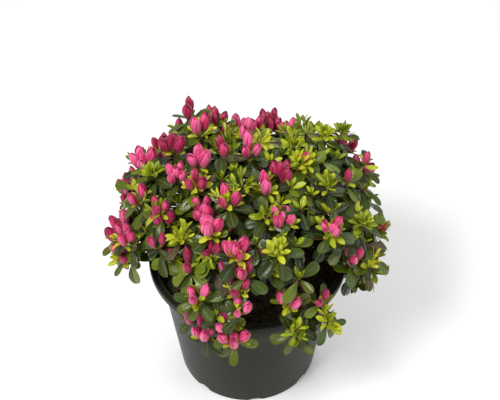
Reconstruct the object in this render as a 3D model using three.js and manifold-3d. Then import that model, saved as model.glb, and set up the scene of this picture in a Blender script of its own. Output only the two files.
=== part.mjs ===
// An azalea shrub in bud, standing in its round plastic nursery pot.
//
// Millimetres, +Z up. The origin is the centre of the pot's flat underside, -Y is the front of the
// plant and +X is its right side. Azimuths are degrees from the front towards the right side.
//
// The crown is a set of masses. Each mass is carried by one bough of the short hidden trunk, and
// keeps to its own cell of space: the points that are nearer to its centre than to any other's.
// Inside the cell one stem bears twigs, and every twig ends in a shoot: a whorl of leaves, a whorl
// of young leaves and, on most shoots, a furled flower bud.

import * as THREE from 'three';
import { mergeVertices } from 'three/addons/utils/BufferGeometryUtils.js';
import Module from 'manifold-3d';

const wasm = await Module();
wasm.setup();

// Gap kept between neighbouring solids, and the distance within which corners are one.
const CLEARANCE = 0.3;
const MERGE_DISTANCE = 1e-4;

// The pot: outside sizes, with the heights measured up from its underside.
const POT_HEIGHT = 146;
const POT_RIM_RADIUS = 95;
const POT_COLLAR_RADIUS = 89.6;
const POT_COLLAR_FOOT_RADIUS = 87.4;
const POT_COLLAR_FOOT = 123;
const POT_STEP_RADIUS = 84;
const POT_STEP = 120;
const POT_BASE_RADIUS = 70.5;
const POT_WALL = 1.6;
const POT_FLOOR = 2;
const POT_BASE_CHAMFER = 1.5;
const LIP_DEPTH = 7;
const LIP_ROUNDING = 1;
const POT_SEGMENTS = 40;

// Drain notches, cut through the corner of wall and floor.
const NOTCH_COUNT = 8;
const NOTCH_WIDTH = 14;
const NOTCH_HEIGHT = 5;
const NOTCH_DEPTH = 5;
const NOTCH_FIRST_AZIMUTH = 6;
const NOTCH_CURVE_STEPS = 3;

// The soil, whose surface lies below the rim and swells a little towards the trunk.
const SOIL_BELOW_RIM = 14;
const SOIL_SWELL = 3;
const SOIL_FLAT_RADIUS = 14;

// The trunk, from its flat cut on the soil to its head.
const TRUNK_HEIGHT = 42;
const TRUNK_FOOT_RADIUS = 9.5;
const TRUNK_WAIST_RADIUS = 6.6;
const TRUNK_HEAD_RADIUS = 5.2;
const TRUNK_FLARE_HEIGHT = 11;
const TRUNK_LEAN = new THREE.Vector2(2.4, 1.4);
const TRUNK_ROOTS = 5;
const TRUNK_ROOT_RELIEF = 0.16;
const TRUNK_HEAD_ROUNDING = 2;
const TRUNK_FLARE_RINGS = 3;
const TRUNK_RINGS = 4;
const TRUNK_SEGMENTS = 15;

// The boughs: radii, how far below the trunk's head the highest one starts, and how far along the
// way to its mass each one ends.
const BOUGH_ROOT_RADIUS = 2.3;
const BOUGH_TIP_RADIUS = 1.8;
const BOUGH_BELOW_HEAD = 4;
const BOUGH_ENDS_AT = 0.55;
const BOUGH_SAG = 0.16;
const BOUGH_SIDES = 6;
const BOUGH_STEPS = 4;
const STEM_SIDES = 5;
const STEM_STEPS = 2;

// The crown, a full-shouldered dome whose shoots start at its lowest elevation. Its fullness is 2
// for a round dome, and higher for squarer shoulders.
const CROWN_CENTRE = new THREE.Vector3(1.7, 0, POT_HEIGHT + 30);
const CROWN_SPREAD = 130;
const CROWN_RISE = 121;
const CROWN_FULLNESS = 2.3;
const CROWN_LOWEST_ELEVATION = -13;
const CROWN_VALLEY = 0.12;
const CROWN_SEED = 41;
const SHOOT_COUNT = 124;
const SHOOT_JITTER = 5;
const SHOOT_REACH_SPREAD = 0.04;
const MASS_CENTRE_AT = 0.62;
const MASS_WIDTH = 24;

// The masses: where each lies, how far it reaches beside the plain dome, how high up the trunk its
// bough starts, and how many of its shoots carry flower buds.
const MASSES = [
  { name: 'top', azimuth: 0, elevation: 88, reach: 0.97, start: 42, budding: 0.7 },
  { name: 'upper_front', azimuth: -22, elevation: 52, reach: 1.0, start: 34, budding: 0.8 },
  { name: 'middle_front', azimuth: 12, elevation: 33, reach: 0.98, start: 25, budding: 0.55 },
  { name: 'upper_front_right', azimuth: 48, elevation: 49, reach: 1.0, start: 30, budding: 0.75 },
  { name: 'upper_right', azimuth: 100, elevation: 46, reach: 1.1, start: 34, budding: 0.4 },
  { name: 'upper_back', azimuth: 172, elevation: 48, reach: 0.84, start: 30, budding: 0.7 },
  { name: 'upper_back_left', azimuth: -122, elevation: 52, reach: 1.07, start: 34, budding: 0.75 },
  { name: 'upper_left', azimuth: -82, elevation: 46, reach: 1.12, start: 30, budding: 0.85 },
  { name: 'front_left', azimuth: -21, elevation: 5, reach: 1.02, start: 15, budding: 0.8 },
  { name: 'front_right', azimuth: 33, elevation: 1, reach: 1.05, start: 15, budding: 0.4 },
  { name: 'right_front', azimuth: 68, elevation: 14, reach: 1.09, start: 21, budding: 0.45 },
  { name: 'right_back', azimuth: 114, elevation: 10, reach: 1.0, start: 15, budding: 0.5 },
  { name: 'back_right', azimuth: 157, elevation: 8, reach: 1.0, start: 21, budding: 0.6 },
  { name: 'back_left', azimuth: -157, elevation: 8, reach: 1.0, start: 15, budding: 0.6 },
  { name: 'left_back', azimuth: -112, elevation: 10, reach: 1.0, start: 21, budding: 0.6 },
  { name: 'left_front', azimuth: -69, elevation: 13, reach: 1.07, start: 15, budding: 0.85 },
];

// Openings in the crown where no shoot grows: the soil shows through the first, in front.
const CROWN_OPENINGS = [
  { azimuth: 8, elevation: 2, halfWidth: 10, halfHeight: 21 },
  { azimuth: 37, elevation: 19, halfWidth: 11, halfHeight: 11 },
  { azimuth: -42, elevation: 0, halfWidth: 12, halfHeight: 14 },
  { azimuth: 54, elevation: -6, halfWidth: 12, halfHeight: 12 },
  { azimuth: -68, elevation: -12, halfWidth: 26, halfHeight: 10 },
];

// A dip in the crown's outline, where no shoot grows but the leaves of its neighbours lean in.
const CROWN_DIPS = [
  { azimuth: -109, elevation: 47, halfWidth: 9, halfHeight: 7 },
];

// A shoot. Its leaves are broader than life, because each stands for two of the plant's own. A whorl
// sits on a small hub round the twig, and its leaves are splayed from the shoot's heading.
const SHOOT_UPTURN = 0.7;
const LEADER_RADIUS = 1.5;
const TWIG_RADIUS = 0.95;
const FORK_LEAN = 0.75;
const FORK_FIRST = 0.06;
const FORK_LAST = 0.72;
const FORK_SPACING = 3.5;
const FORK_STEP = 1;
const HUB_RADIUS = 1.7;
const HUB_SIDES = 3;
const HUB_WIDEST_GAP = 150;
const LEAF_WHORL = { count: 5, height: 0, length: 34, width: 16, widest: 0.6, splay: 70 };
const YOUNG_WHORL = { count: 2, height: 2.6, length: 17, width: 6.5, widest: 0.55, splay: 36 };
const SPLAY_SPREAD = 12;
const TURN_SPREAD = 7;
const STRETCH_SPREAD = 0.08;
const BUD_FOOT_RADIUS = 0.8;
const BUD_FOOT_HEIGHT = 4.4;
const BUD_GIRDLE = { radius: 3.6, height: 10 };
const BUD_SIDES = 4;
const TWIG_SIDES = 3;
const SHOOT_LENGTH = 17;
const SHOOT_DEPTH = 21;
const BARE_SHOOT_LENGTH = 6.5;

// How a leaf finds room: how often it tries, how much it swings and shrinks at each try, and how
// clear it keeps of its mates, the limbs and the pot.
const ATTEMPTS = 6;
const ATTEMPT_SWING = 4.5;
const ATTEMPT_SHRINK = 0.09;
const LEAF_MARGIN = 0.5;
const LEAF_LIMB_MARGIN = 1;
const LEAF_POT_MARGIN = 1.5;
const LEAF_OVERREACH = 4;
const SHOOT_POT_MARGIN = 5;
const DRAW_STEP = 0.04;
const LINE_SAMPLES = [0.25, 0.5, 0.75, 1];

const GOLDEN_ANGLE = 180 * (3 - Math.sqrt(5));
const UP = new THREE.Vector3(0, 0, 1);
const radians = THREE.MathUtils.degToRad;
const degrees = THREE.MathUtils.radToDeg;

// Colours of the real materials, with their roughness.
const PLASTIC = { color: 0x35363a, roughness: 0.45 };
const SOIL = { color: 0x1f1712, roughness: 0.95 };
const BARK = { color: 0x6b4a35, roughness: 0.85 };
const FOLIAGE = { color: 0x4c7a2c, roughness: 0.5 };

// Repeatable numbers from 0 to 1, by a 32-bit mixing rule.
function seededRandom(seed) {
  let state = seed >>> 0;
  return () => {
    state = (state + 0x6d2b79f5) >>> 0;
    let mixed = Math.imul(state ^ (state >>> 15), state | 1);
    mixed ^= mixed + Math.imul(mixed ^ (mixed >>> 7), mixed | 61);
    return ((mixed ^ (mixed >>> 14)) >>> 0) / 2 ** 32;
  };
}

// A random number from -1 to 1.
function shake(random) {
  return 2 * random() - 1;
}

// A geometry as a closed solid, with its shared corners merged.
function toSolid(geometry) {
  const bare = geometry.clone();
  bare.deleteAttribute('normal');
  bare.deleteAttribute('uv');
  const merged = mergeVertices(bare, MERGE_DISTANCE);
  return new wasm.Manifold(new wasm.Mesh({
    numProp: 3,
    vertProperties: new Float32Array(merged.attributes.position.array),
    triVerts: new Uint32Array(merged.index.array),
  }));
}

// A function that gives each corner of a mesh the label of the closed surface that it belongs to.
function surfaceLabels(cornerCount, triangles) {
  const parent = Uint32Array.from({ length: cornerCount }, (_, corner) => corner);
  const labelOf = (corner) => {
    let at = corner;
    while (parent[at] !== at) at = parent[at];
    parent[corner] = at;
    return at;
  };
  for (let t = 0; t < triangles.length; t += 3) {
    parent[labelOf(triangles[t + 1])] = labelOf(triangles[t]);
    parent[labelOf(triangles[t + 2])] = labelOf(triangles[t]);
  }
  return labelOf;
}

// The outer skin of the largest body of a solid: scraps and sealed hollows are dropped.
function mainBody(solid) {
  const mesh = solid.getMesh();
  const corner = (index) => new THREE.Vector3().fromArray(mesh.vertProperties, index * mesh.numProp);
  const label = surfaceLabels(mesh.vertProperties.length / mesh.numProp, mesh.triVerts);
  const volumes = new Map();
  for (let t = 0; t < mesh.triVerts.length; t += 3) {
    const [a, b, c] = Array.from(mesh.triVerts.subarray(t, t + 3));
    const volume = corner(a).dot(corner(b).cross(corner(c))) / 6;
    volumes.set(label(a), (volumes.get(label(a)) ?? 0) + volume);
  }
  const largest = [...volumes.entries()].sort((one, other) => other[1] - one[1])[0][0];
  const kept = [];
  for (let t = 0; t < mesh.triVerts.length; t += 3) {
    if (label(mesh.triVerts[t]) === largest) kept.push(...mesh.triVerts.subarray(t, t + 3));
  }
  const positions = kept.flatMap((index) => corner(index).toArray());
  const geometry = new THREE.BufferGeometry();
  geometry.setAttribute('position', new THREE.Float32BufferAttribute(positions, 3));
  return mergeVertices(geometry, MERGE_DISTANCE);
}

// A named mesh with its own material.
function namedMesh(name, geometry, { color, roughness }) {
  const shaded = geometry.clone();
  shaded.computeVertexNormals();
  const material = new THREE.MeshStandardMaterial({ color, roughness, metalness: 0, flatShading: true });
  const mesh = new THREE.Mesh(shaded, material);
  mesh.name = name;
  return mesh;
}

// The unit vector at an azimuth and elevation in degrees.
function directionAt(azimuth, elevation) {
  const level = Math.cos(radians(elevation));
  return new THREE.Vector3(
    Math.sin(radians(azimuth)) * level,
    -Math.cos(radians(azimuth)) * level,
    Math.sin(radians(elevation)),
  );
}

// A level unit vector square to a direction.
function levelAcross(direction) {
  const across = new THREE.Vector3(-direction.y, direction.x, 0);
  return across.lengthSq() > 0 ? across.normalize() : new THREE.Vector3(1, 0, 0);
}

// A profile of radius and height, turned about the Z axis.
function turned(profile, segments) {
  const points = profile.map(([radius, height]) => new THREE.Vector2(radius, height));
  return new THREE.LatheGeometry(points, segments).rotateX(Math.PI / 2);
}

// The pot's inside radius at a height between its floor and its collar.
function potInsideRadius(height) {
  const slope = (POT_STEP_RADIUS - POT_BASE_RADIUS) / POT_STEP;
  return POT_BASE_RADIUS + slope * height - POT_WALL;
}

function potGeometry() {
  const top = POT_HEIGHT;
  const lipInside = POT_RIM_RADIUS - POT_WALL;
  const mouth = POT_COLLAR_RADIUS - POT_WALL;
  let solid = toSolid(turned([
    [0, 0],
    [POT_BASE_RADIUS - POT_BASE_CHAMFER, 0],
    [POT_BASE_RADIUS, POT_BASE_CHAMFER],
    [POT_STEP_RADIUS, POT_STEP],
    [POT_COLLAR_FOOT_RADIUS, POT_COLLAR_FOOT],
    [POT_COLLAR_RADIUS, top - POT_WALL],
    [lipInside, top - POT_WALL],
    [lipInside, top - LIP_DEPTH],
    [POT_RIM_RADIUS, top - LIP_DEPTH],
    [POT_RIM_RADIUS, top - LIP_ROUNDING],
    [POT_RIM_RADIUS - LIP_ROUNDING, top],
    [mouth + LIP_ROUNDING, top],
    [mouth, top - LIP_ROUNDING],
    [POT_COLLAR_FOOT_RADIUS - POT_WALL, POT_COLLAR_FOOT],
    [potInsideRadius(POT_STEP), POT_STEP],
    [potInsideRadius(POT_FLOOR), POT_FLOOR],
    [0, POT_FLOOR],
  ], POT_SEGMENTS));
  for (let i = 0; i < NOTCH_COUNT; i++) {
    solid = solid.subtract(notchSolid(NOTCH_FIRST_AZIMUTH + (i * 360) / NOTCH_COUNT));
  }
  return mainBody(solid);
}

// The arch that cuts one drain notch, from inside the base's edge outwards.
function notchSolid(azimuth) {
  const half = NOTCH_WIDTH / 2;
  const arch = new THREE.Shape();
  arch.moveTo(-half, -POT_FLOOR);
  arch.lineTo(half, -POT_FLOOR);
  arch.lineTo(half, 0);
  arch.quadraticCurveTo(half, NOTCH_HEIGHT, 0, NOTCH_HEIGHT);
  arch.quadraticCurveTo(-half, NOTCH_HEIGHT, -half, 0);
  arch.closePath();
  const geometry = new THREE.ExtrudeGeometry(arch, {
    depth: 2 * NOTCH_DEPTH,
    bevelEnabled: false,
    curveSegments: NOTCH_CURVE_STEPS,
  });
  const out = directionAt(azimuth, 0);
  const side = new THREE.Vector3().crossVectors(UP, out);
  const placed = new THREE.Matrix4().makeBasis(side, UP, out);
  placed.setPosition(out.clone().multiplyScalar(POT_BASE_RADIUS - NOTCH_DEPTH));
  return toSolid(geometry.applyMatrix4(placed));
}

const SOIL_EDGE = POT_HEIGHT - SOIL_BELOW_RIM;
const SOIL_TOP = SOIL_EDGE + SOIL_SWELL;

function soilGeometry() {
  const collarInside = POT_COLLAR_FOOT_RADIUS - POT_WALL - CLEARANCE;
  const bottom = POT_FLOOR + CLEARANCE;
  return mainBody(toSolid(turned([
    [0, bottom],
    [potInsideRadius(bottom) - CLEARANCE, bottom],
    [potInsideRadius(POT_STEP) - CLEARANCE, POT_STEP],
    [collarInside, POT_COLLAR_FOOT + CLEARANCE],
    [collarInside, SOIL_EDGE],
    [SOIL_FLAT_RADIUS, SOIL_TOP],
    [0, SOIL_TOP],
  ], POT_SEGMENTS)));
}

// The middle of the trunk at a height above the soil.
function trunkMiddle(height) {
  const share = height / TRUNK_HEIGHT;
  return new THREE.Vector3(TRUNK_LEAN.x * share, TRUNK_LEAN.y * share, SOIL_TOP + height);
}

// The trunk's radius at a height above the soil, before the roots' relief.
function trunkRadius(height) {
  const flare = Math.max(0, 1 - height / TRUNK_FLARE_HEIGHT) ** 2;
  const share = height / TRUNK_HEIGHT;
  const taper = TRUNK_WAIST_RADIUS + (TRUNK_HEAD_RADIUS - TRUNK_WAIST_RADIUS) * share;
  return taper + (TRUNK_FOOT_RADIUS - TRUNK_WAIST_RADIUS) * flare;
}

// The trunk, grown outwards by a margin where it cuts its neighbours.
function trunkSolid(margin) {
  const shoulder = TRUNK_HEIGHT - TRUNK_HEAD_ROUNDING;
  const flared = Array.from({ length: TRUNK_FLARE_RINGS }, (_, ring) =>
    ((ring + 1) * TRUNK_FLARE_HEIGHT) / TRUNK_FLARE_RINGS);
  const plain = Array.from({ length: TRUNK_RINGS }, (_, ring) =>
    TRUNK_FLARE_HEIGHT + ((ring + 1) * (shoulder - TRUNK_FLARE_HEIGHT)) / TRUNK_RINGS);
  const profile = [[0, CLEARANCE - margin], [trunkRadius(CLEARANCE) + margin, CLEARANCE - margin]];
  profile.push(...[...flared, ...plain].map((height) => [trunkRadius(height) + margin, height]));
  profile.push([TRUNK_HEAD_RADIUS / 2 + margin, TRUNK_HEIGHT + margin], [0, TRUNK_HEIGHT + margin]);
  const geometry = turned(profile, TRUNK_SEGMENTS);
  const position = geometry.attributes.position;
  const point = new THREE.Vector3();
  for (let i = 0; i < position.count; i++) {
    point.fromBufferAttribute(position, i);
    const flare = Math.max(0, 1 - point.z / TRUNK_FLARE_HEIGHT);
    const relief = 1 + TRUNK_ROOT_RELIEF * flare * Math.cos(TRUNK_ROOTS * Math.atan2(point.y, point.x));
    const middle = trunkMiddle(point.z);
    position.setXYZ(i, middle.x + point.x * relief, middle.y + point.y * relief, middle.z);
  }
  return toSolid(geometry);
}

// A tapering limb whose middle follows a curve.
function curvedLimb(curve, rootRadius, tipRadius, sides, steps) {
  const length = curve.getLength();
  const geometry = new THREE.CylinderGeometry(tipRadius, rootRadius, length, sides, steps);
  const frames = curve.computeFrenetFrames(steps);
  const position = geometry.attributes.position;
  const point = new THREE.Vector3();
  for (let i = 0; i < position.count; i++) {
    point.fromBufferAttribute(position, i);
    const step = Math.round((point.y / length + 0.5) * steps);
    const placed = curve.getPointAt(step / steps);
    placed.addScaledVector(frames.normals[step], point.z);
    placed.addScaledVector(frames.binormals[step], point.x);
    position.setXYZ(i, placed.x, placed.y, placed.z);
  }
  return geometry;
}

// How far the crown reaches along a direction: a dome, with a bulge over each mass.
function crownReach(direction) {
  const level = Math.hypot(direction.x, direction.y) / CROWN_SPREAD;
  const rise = Math.abs(direction.z) / CROWN_RISE;
  const dome = (level ** CROWN_FULLNESS + rise ** CROWN_FULLNESS) ** (-1 / CROWN_FULLNESS);
  let weights = 0;
  let reach = 0;
  let nearest = Infinity;
  for (const mass of MASSES) {
    const angle = degrees(direction.angleTo(directionAt(mass.azimuth, mass.elevation)));
    const weight = Math.exp(-((angle / MASS_WIDTH) ** 2));
    weights += weight;
    reach += weight * mass.reach;
    nearest = Math.min(nearest, angle);
  }
  return dome * (reach / weights) * (1 - CROWN_VALLEY * (1 - Math.exp(-((nearest / MASS_WIDTH) ** 2))));
}

// The middle of a mass.
function massCentre(mass) {
  const direction = directionAt(mass.azimuth, mass.elevation);
  const reach = crownReach(direction) * MASS_CENTRE_AT;
  return CROWN_CENTRE.clone().addScaledVector(direction, reach);
}

// Whether a direction, as seen from the middle of the crown, falls in one of its openings.
function inOpening(azimuth, elevation, openings = CROWN_OPENINGS) {
  return openings.some((opening) => {
    const turn = ((azimuth - opening.azimuth + 540) % 360) - 180;
    const rise = elevation - opening.elevation;
    return (turn / opening.halfWidth) ** 2 + (rise / opening.halfHeight) ** 2 < 1;
  });
}

// Every shoot of the crown, spread evenly by the golden angle and then shaken a little.
function crownShoots() {
  const random = seededRandom(CROWN_SEED);
  const lowest = Math.sin(radians(CROWN_LOWEST_ELEVATION));
  const shoots = [];
  for (let i = 0; i < SHOOT_COUNT; i++) {
    const height = 1 - ((1 - lowest) * (i + 0.5)) / SHOOT_COUNT;
    const turn = (i * GOLDEN_ANGLE) % 360;
    const azimuth = turn + SHOOT_JITTER * shake(random);
    const elevation = degrees(Math.asin(height)) + SHOOT_JITTER * shake(random);
    if (inOpening(azimuth, elevation)) continue;
    const outward = directionAt(azimuth, elevation);
    const reach = crownReach(outward) * (1 + SHOOT_REACH_SPREAD * shake(random));
    const tip = CROWN_CENTRE.clone().addScaledVector(outward, reach);
    const heading = outward.clone().addScaledVector(UP, SHOOT_UPTURN).normalize();
    const base = tip.clone().addScaledVector(heading, -SHOOT_DEPTH);
    if (!clearOfPot(base, SHOOT_POT_MARGIN) || inOpening(azimuth, elevation, CROWN_DIPS)) continue;
    shoots.push({ index: i, base, heading });
  }
  return shoots;
}

const CENTRES = MASSES.map(massCentre);

// How far a point lies inside the cell of a mass: the space nearer to its centre than to any other.
function depthInCell(point, massIndex) {
  const own = CENTRES[massIndex];
  let depth = Infinity;
  CENTRES.forEach((other, index) => {
    if (index === massIndex) return;
    const gain = point.distanceToSquared(other) - point.distanceToSquared(own);
    depth = Math.min(depth, gain / (2 * other.distanceTo(own)));
  });
  return depth;
}

// The mass whose cell holds a point.
function nearestMass(point) {
  const distances = CENTRES.map((centre) => centre.distanceTo(point));
  return distances.indexOf(Math.min(...distances));
}

// Moves the base of a shoot towards the middle of its mass until its hub is inside the cell.
function drawIntoCell(base, massIndex) {
  while (depthInCell(base, massIndex) < HUB_RADIUS + CLEARANCE) base.lerp(CENTRES[massIndex], DRAW_STEP);
}

// The curve of a bough, from inside the trunk to where it enters its mass.
function boughCurve(mass, massIndex) {
  const start = trunkMiddle(Math.min(mass.start, TRUNK_HEIGHT - BOUGH_BELOW_HEAD));
  const centre = CENTRES[massIndex];
  const end = start.clone().lerp(centre, BOUGH_ENDS_AT);
  const bend = start.clone().lerp(end, 0.5);
  const level = new THREE.Vector3(end.x - start.x, end.y - start.y, 0);
  bend.z -= BOUGH_SAG * level.length();
  return new THREE.QuadraticBezierCurve3(start, bend, end);
}

// The bough, cut off where it meets the trunk.
function boughGeometry(curve, trunkCutter) {
  const limb = curvedLimb(curve, BOUGH_ROOT_RADIUS, BOUGH_TIP_RADIUS, BOUGH_SIDES, BOUGH_STEPS);
  return mainBody(toSolid(limb).subtract(trunkCutter));
}

// The place on a limb where a twig to a point leaves it: behind the point's foot on the limb's line,
// so that the twig leans forward, and away from the twigs that start there already.
function forkOn(limb, target) {
  const direction = limb.to.clone().sub(limb.from);
  const length = direction.length();
  direction.normalize();
  const foot = target.clone().sub(limb.from).dot(direction);
  const aside = target.distanceTo(limb.from.clone().addScaledVector(direction, foot));
  let along = THREE.MathUtils.clamp(foot - aside * FORK_LEAN, FORK_FIRST * length, FORK_LAST * length);
  while (limb.forks.some((taken) => Math.abs(taken - along) < FORK_SPACING)) along -= FORK_STEP;
  const point = limb.from.clone().addScaledVector(direction, along);
  const detour = along < 0 ? Infinity : point.distanceTo(target);
  return { limb, along, point, detour };
}

// The twigs of a mass. The stem's leader ends in the shoot furthest along the stem, and every other
// shoot has one twig, which leaves the leader or an earlier twig where the way to it is shortest.
function growTwigs(stemEnd, heading, shoots) {
  const ahead = (shoot) => shoot.base.clone().sub(stemEnd).dot(heading);
  const [first, ...rest] = [...shoots].sort((one, other) => ahead(other) - ahead(one));
  const leader = { from: stemEnd, to: first.base, radius: LEADER_RADIUS, shoot: first, forks: [] };
  const line = new THREE.Line3(stemEnd, first.base);
  const foot = new THREE.Vector3();
  const aside = (shoot) => line.closestPointToPoint(shoot.base, true, foot).distanceTo(shoot.base);
  const twigs = [leader];
  for (const shoot of rest.sort((one, other) => aside(one) - aside(other))) {
    const forks = twigs.map((twig) => forkOn(twig, shoot.base));
    const best = forks.reduce((least, fork) => (fork.detour < least.detour ? fork : least));
    best.limb.forks.push(best.along);
    twigs.push({ from: best.point, to: shoot.base, radius: TWIG_RADIUS, shoot, forks: [] });
  }
  return twigs;
}

// A ring of corners round an axis. Each corner has a turn about the axis, in degrees.
function evenRing(centre, heading, side, radius, count) {
  const across = new THREE.Vector3().crossVectors(heading, side);
  return Array.from({ length: count }, (_, i) => {
    const turn = ((i + 0.5) * 360) / count;
    const point = centre.clone().addScaledVector(side, radius * Math.cos(radians(turn)));
    return { turn, point: point.addScaledVector(across, radius * Math.sin(radians(turn))) };
  });
}

// The triangles between two rings of corners, stitched in the order of the corners' turns.
function stitchRings(low, high, lowStart, highStart) {
  const turnOf = (ring, step) => ring[step % ring.length].turn + 360 * Math.floor(step / ring.length);
  const highSteps = high.length > 1 ? high.length : 0;
  const faces = [];
  let i = 0;
  let j = 0;
  while (i < low.length || j < highSteps) {
    const lowCorner = lowStart + (i % low.length);
    const highCorner = highStart + (j % high.length);
    const lowIsNext = j === highSteps || (i < low.length && turnOf(low, i + 1) <= turnOf(high, j + 1));
    if (lowIsNext) {
      i += 1;
      faces.push(lowCorner, lowStart + (i % low.length), highCorner);
    } else {
      j += 1;
      faces.push(lowCorner, highStart + (j % high.length), highCorner);
    }
  }
  return faces;
}

// A closed solid whose skin runs from its first ring, which is flat, to its last, which is one corner.
function ringsGeometry(rings) {
  const points = rings.flat().flatMap((corner) => corner.point.toArray());
  const faces = [];
  for (let i = 2; i < rings[0].length; i++) faces.push(0, i, i - 1);
  let start = 0;
  for (let level = 1; level < rings.length; level++) {
    const [low, high] = [rings[level - 1], rings[level]];
    faces.push(...stitchRings(low, high, start, start + low.length));
    start += low.length;
  }
  const geometry = new THREE.BufferGeometry();
  geometry.setAttribute('position', new THREE.Float32BufferAttribute(points, 3));
  geometry.setIndex(faces);
  return geometry;
}

// A unit vector splayed from a heading, at a turn about it that starts from a side.
function splayed(heading, side, turn, splay) {
  const across = new THREE.Vector3().crossVectors(heading, side);
  const outward = side.clone().multiplyScalar(Math.cos(radians(turn)));
  outward.addScaledVector(across, Math.sin(radians(turn)));
  outward.multiplyScalar(Math.sin(radians(splay)));
  return outward.addScaledVector(heading, Math.cos(radians(splay)));
}

// One leaf of a whorl: its left, tip and right corners, and the lines and sheets that it spans.
function whorlLeaf(hub, heading, side, whorl, turn, splay, scale) {
  const along = splayed(heading, side, turn, splay);
  const sideways = new THREE.Vector3().crossVectors(heading, along).normalize();
  const widest = hub.clone().addScaledVector(along, whorl.widest * whorl.length * scale);
  const left = widest.clone().addScaledVector(sideways, (-whorl.width * scale) / 2);
  const right = widest.clone().addScaledVector(sideways, (whorl.width * scale) / 2);
  const tip = hub.clone().addScaledVector(along, whorl.length * scale);
  const pairs = [[hub, tip], [hub, left], [hub, right], [left, tip], [right, tip], [left, right]];
  const reach = whorl.widest * whorl.length * Math.sin(radians(splay));
  const halfTurn = degrees(Math.atan2(whorl.width / 2, reach));
  return {
    turn,
    corners: [
      { turn: turn - halfTurn, point: left },
      { turn, point: tip },
      { turn: turn + halfTurn, point: right },
    ],
    lines: pairs.map(([from, to]) => new THREE.Line3(from, to)),
    sheets: [[hub, left, tip], [hub, tip, right]],
    radius: 0,
  };
}

// The rim of a whorl: the corners of its leaves, with the hub's own corners between the leaves.
function whorlRing(hub, heading, side, leaves) {
  if (leaves.length === 0) return evenRing(hub, heading, side, HUB_RADIUS, HUB_SIDES);
  return leaves.flatMap((leaf, i) => {
    const lap = i + 1 === leaves.length ? 360 : 0;
    const gap = leaves[(i + 1) % leaves.length].turn + lap - leaf.turn;
    const between = Math.ceil(gap / HUB_WIDEST_GAP);
    const hubCorners = Array.from({ length: between }, (_, n) => {
      const turn = leaf.turn + ((n + 1) * gap) / (between + 1);
      const outward = splayed(heading, side, turn, 90);
      return { turn, point: hub.clone().addScaledVector(outward, HUB_RADIUS) };
    });
    return [...leaf.corners, ...hubCorners];
  });
}

// Whether a line passes through a triangle.
function pierces(line, [a, b, c]) {
  const ray = new THREE.Ray(line.start, line.delta(new THREE.Vector3()).normalize());
  const hit = ray.intersectTriangle(a, b, c, false, new THREE.Vector3());
  return hit !== null && hit.distanceTo(line.start) < line.distance();
}

// Whether two pieces cross, or come nearer than a margin along their lines.
function touches(one, other, margin) {
  const near = one.radius + other.radius + margin;
  return one.lines.some((line) => other.lines.some((mate) => line.distanceSqToLine3(mate) < near * near))
    || one.lines.some((line) => other.sheets.some((sheet) => pierces(line, sheet)))
    || other.lines.some((line) => one.sheets.some((sheet) => pierces(line, sheet)));
}

// Whether a point lies above the pot's rim or outside it, by a margin.
function clearOfPot(point, margin) {
  return point.z > POT_HEIGHT + margin || Math.hypot(point.x, point.y) > POT_RIM_RADIUS + margin;
}

// Whether a point lies inside the crown's reach, or past it by no more than a margin, and leaves
// the openings clear.
function insideCrown(point, margin) {
  const outward = point.clone().sub(CROWN_CENTRE);
  const distance = outward.length();
  outward.normalize();
  const azimuth = degrees(Math.atan2(outward.x, -outward.y));
  const elevation = degrees(Math.asin(outward.z));
  return distance < crownReach(outward) + margin && !inOpening(azimuth, elevation);
}

// Whether a piece stays inside the crown and its mass's cell, and clear of the pot.
function keepsToItsSpace(piece, massIndex) {
  const point = new THREE.Vector3();
  return piece.lines.every((line) => LINE_SAMPLES.every((share) => {
    line.at(share, point);
    return clearOfPot(point, LEAF_POT_MARGIN)
      && insideCrown(point, LEAF_OVERREACH)
      && depthInCell(point, massIndex) > CLEARANCE + piece.radius;
  }));
}

// The leaves of one whorl that find room in their mass.
function growWhorl(whorl, shoot, side, firstTurn, random, isFree) {
  const hub = shoot.base.clone().addScaledVector(shoot.heading, whorl.height);
  const leaves = [];
  for (let i = 0; i < whorl.count; i++) {
    const turn = firstTurn + (i * 360) / whorl.count + TURN_SPREAD * shake(random);
    const splay = whorl.splay + SPLAY_SPREAD * shake(random);
    const stretch = 1 + STRETCH_SPREAD * shake(random);
    for (let attempt = 0; attempt < ATTEMPTS; attempt++) {
      const swing = (attempt % 2 === 0 ? attempt : -attempt) * ATTEMPT_SWING;
      const scale = stretch * (1 - attempt * ATTEMPT_SHRINK);
      const leaf = whorlLeaf(hub, shoot.heading, side, whorl, turn, splay + swing, scale);
      if (isFree(leaf)) {
        leaves.push(leaf);
        break;
      }
    }
  }
  return { leaves, ring: whorlRing(hub, shoot.heading, side, leaves) };
}

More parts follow.
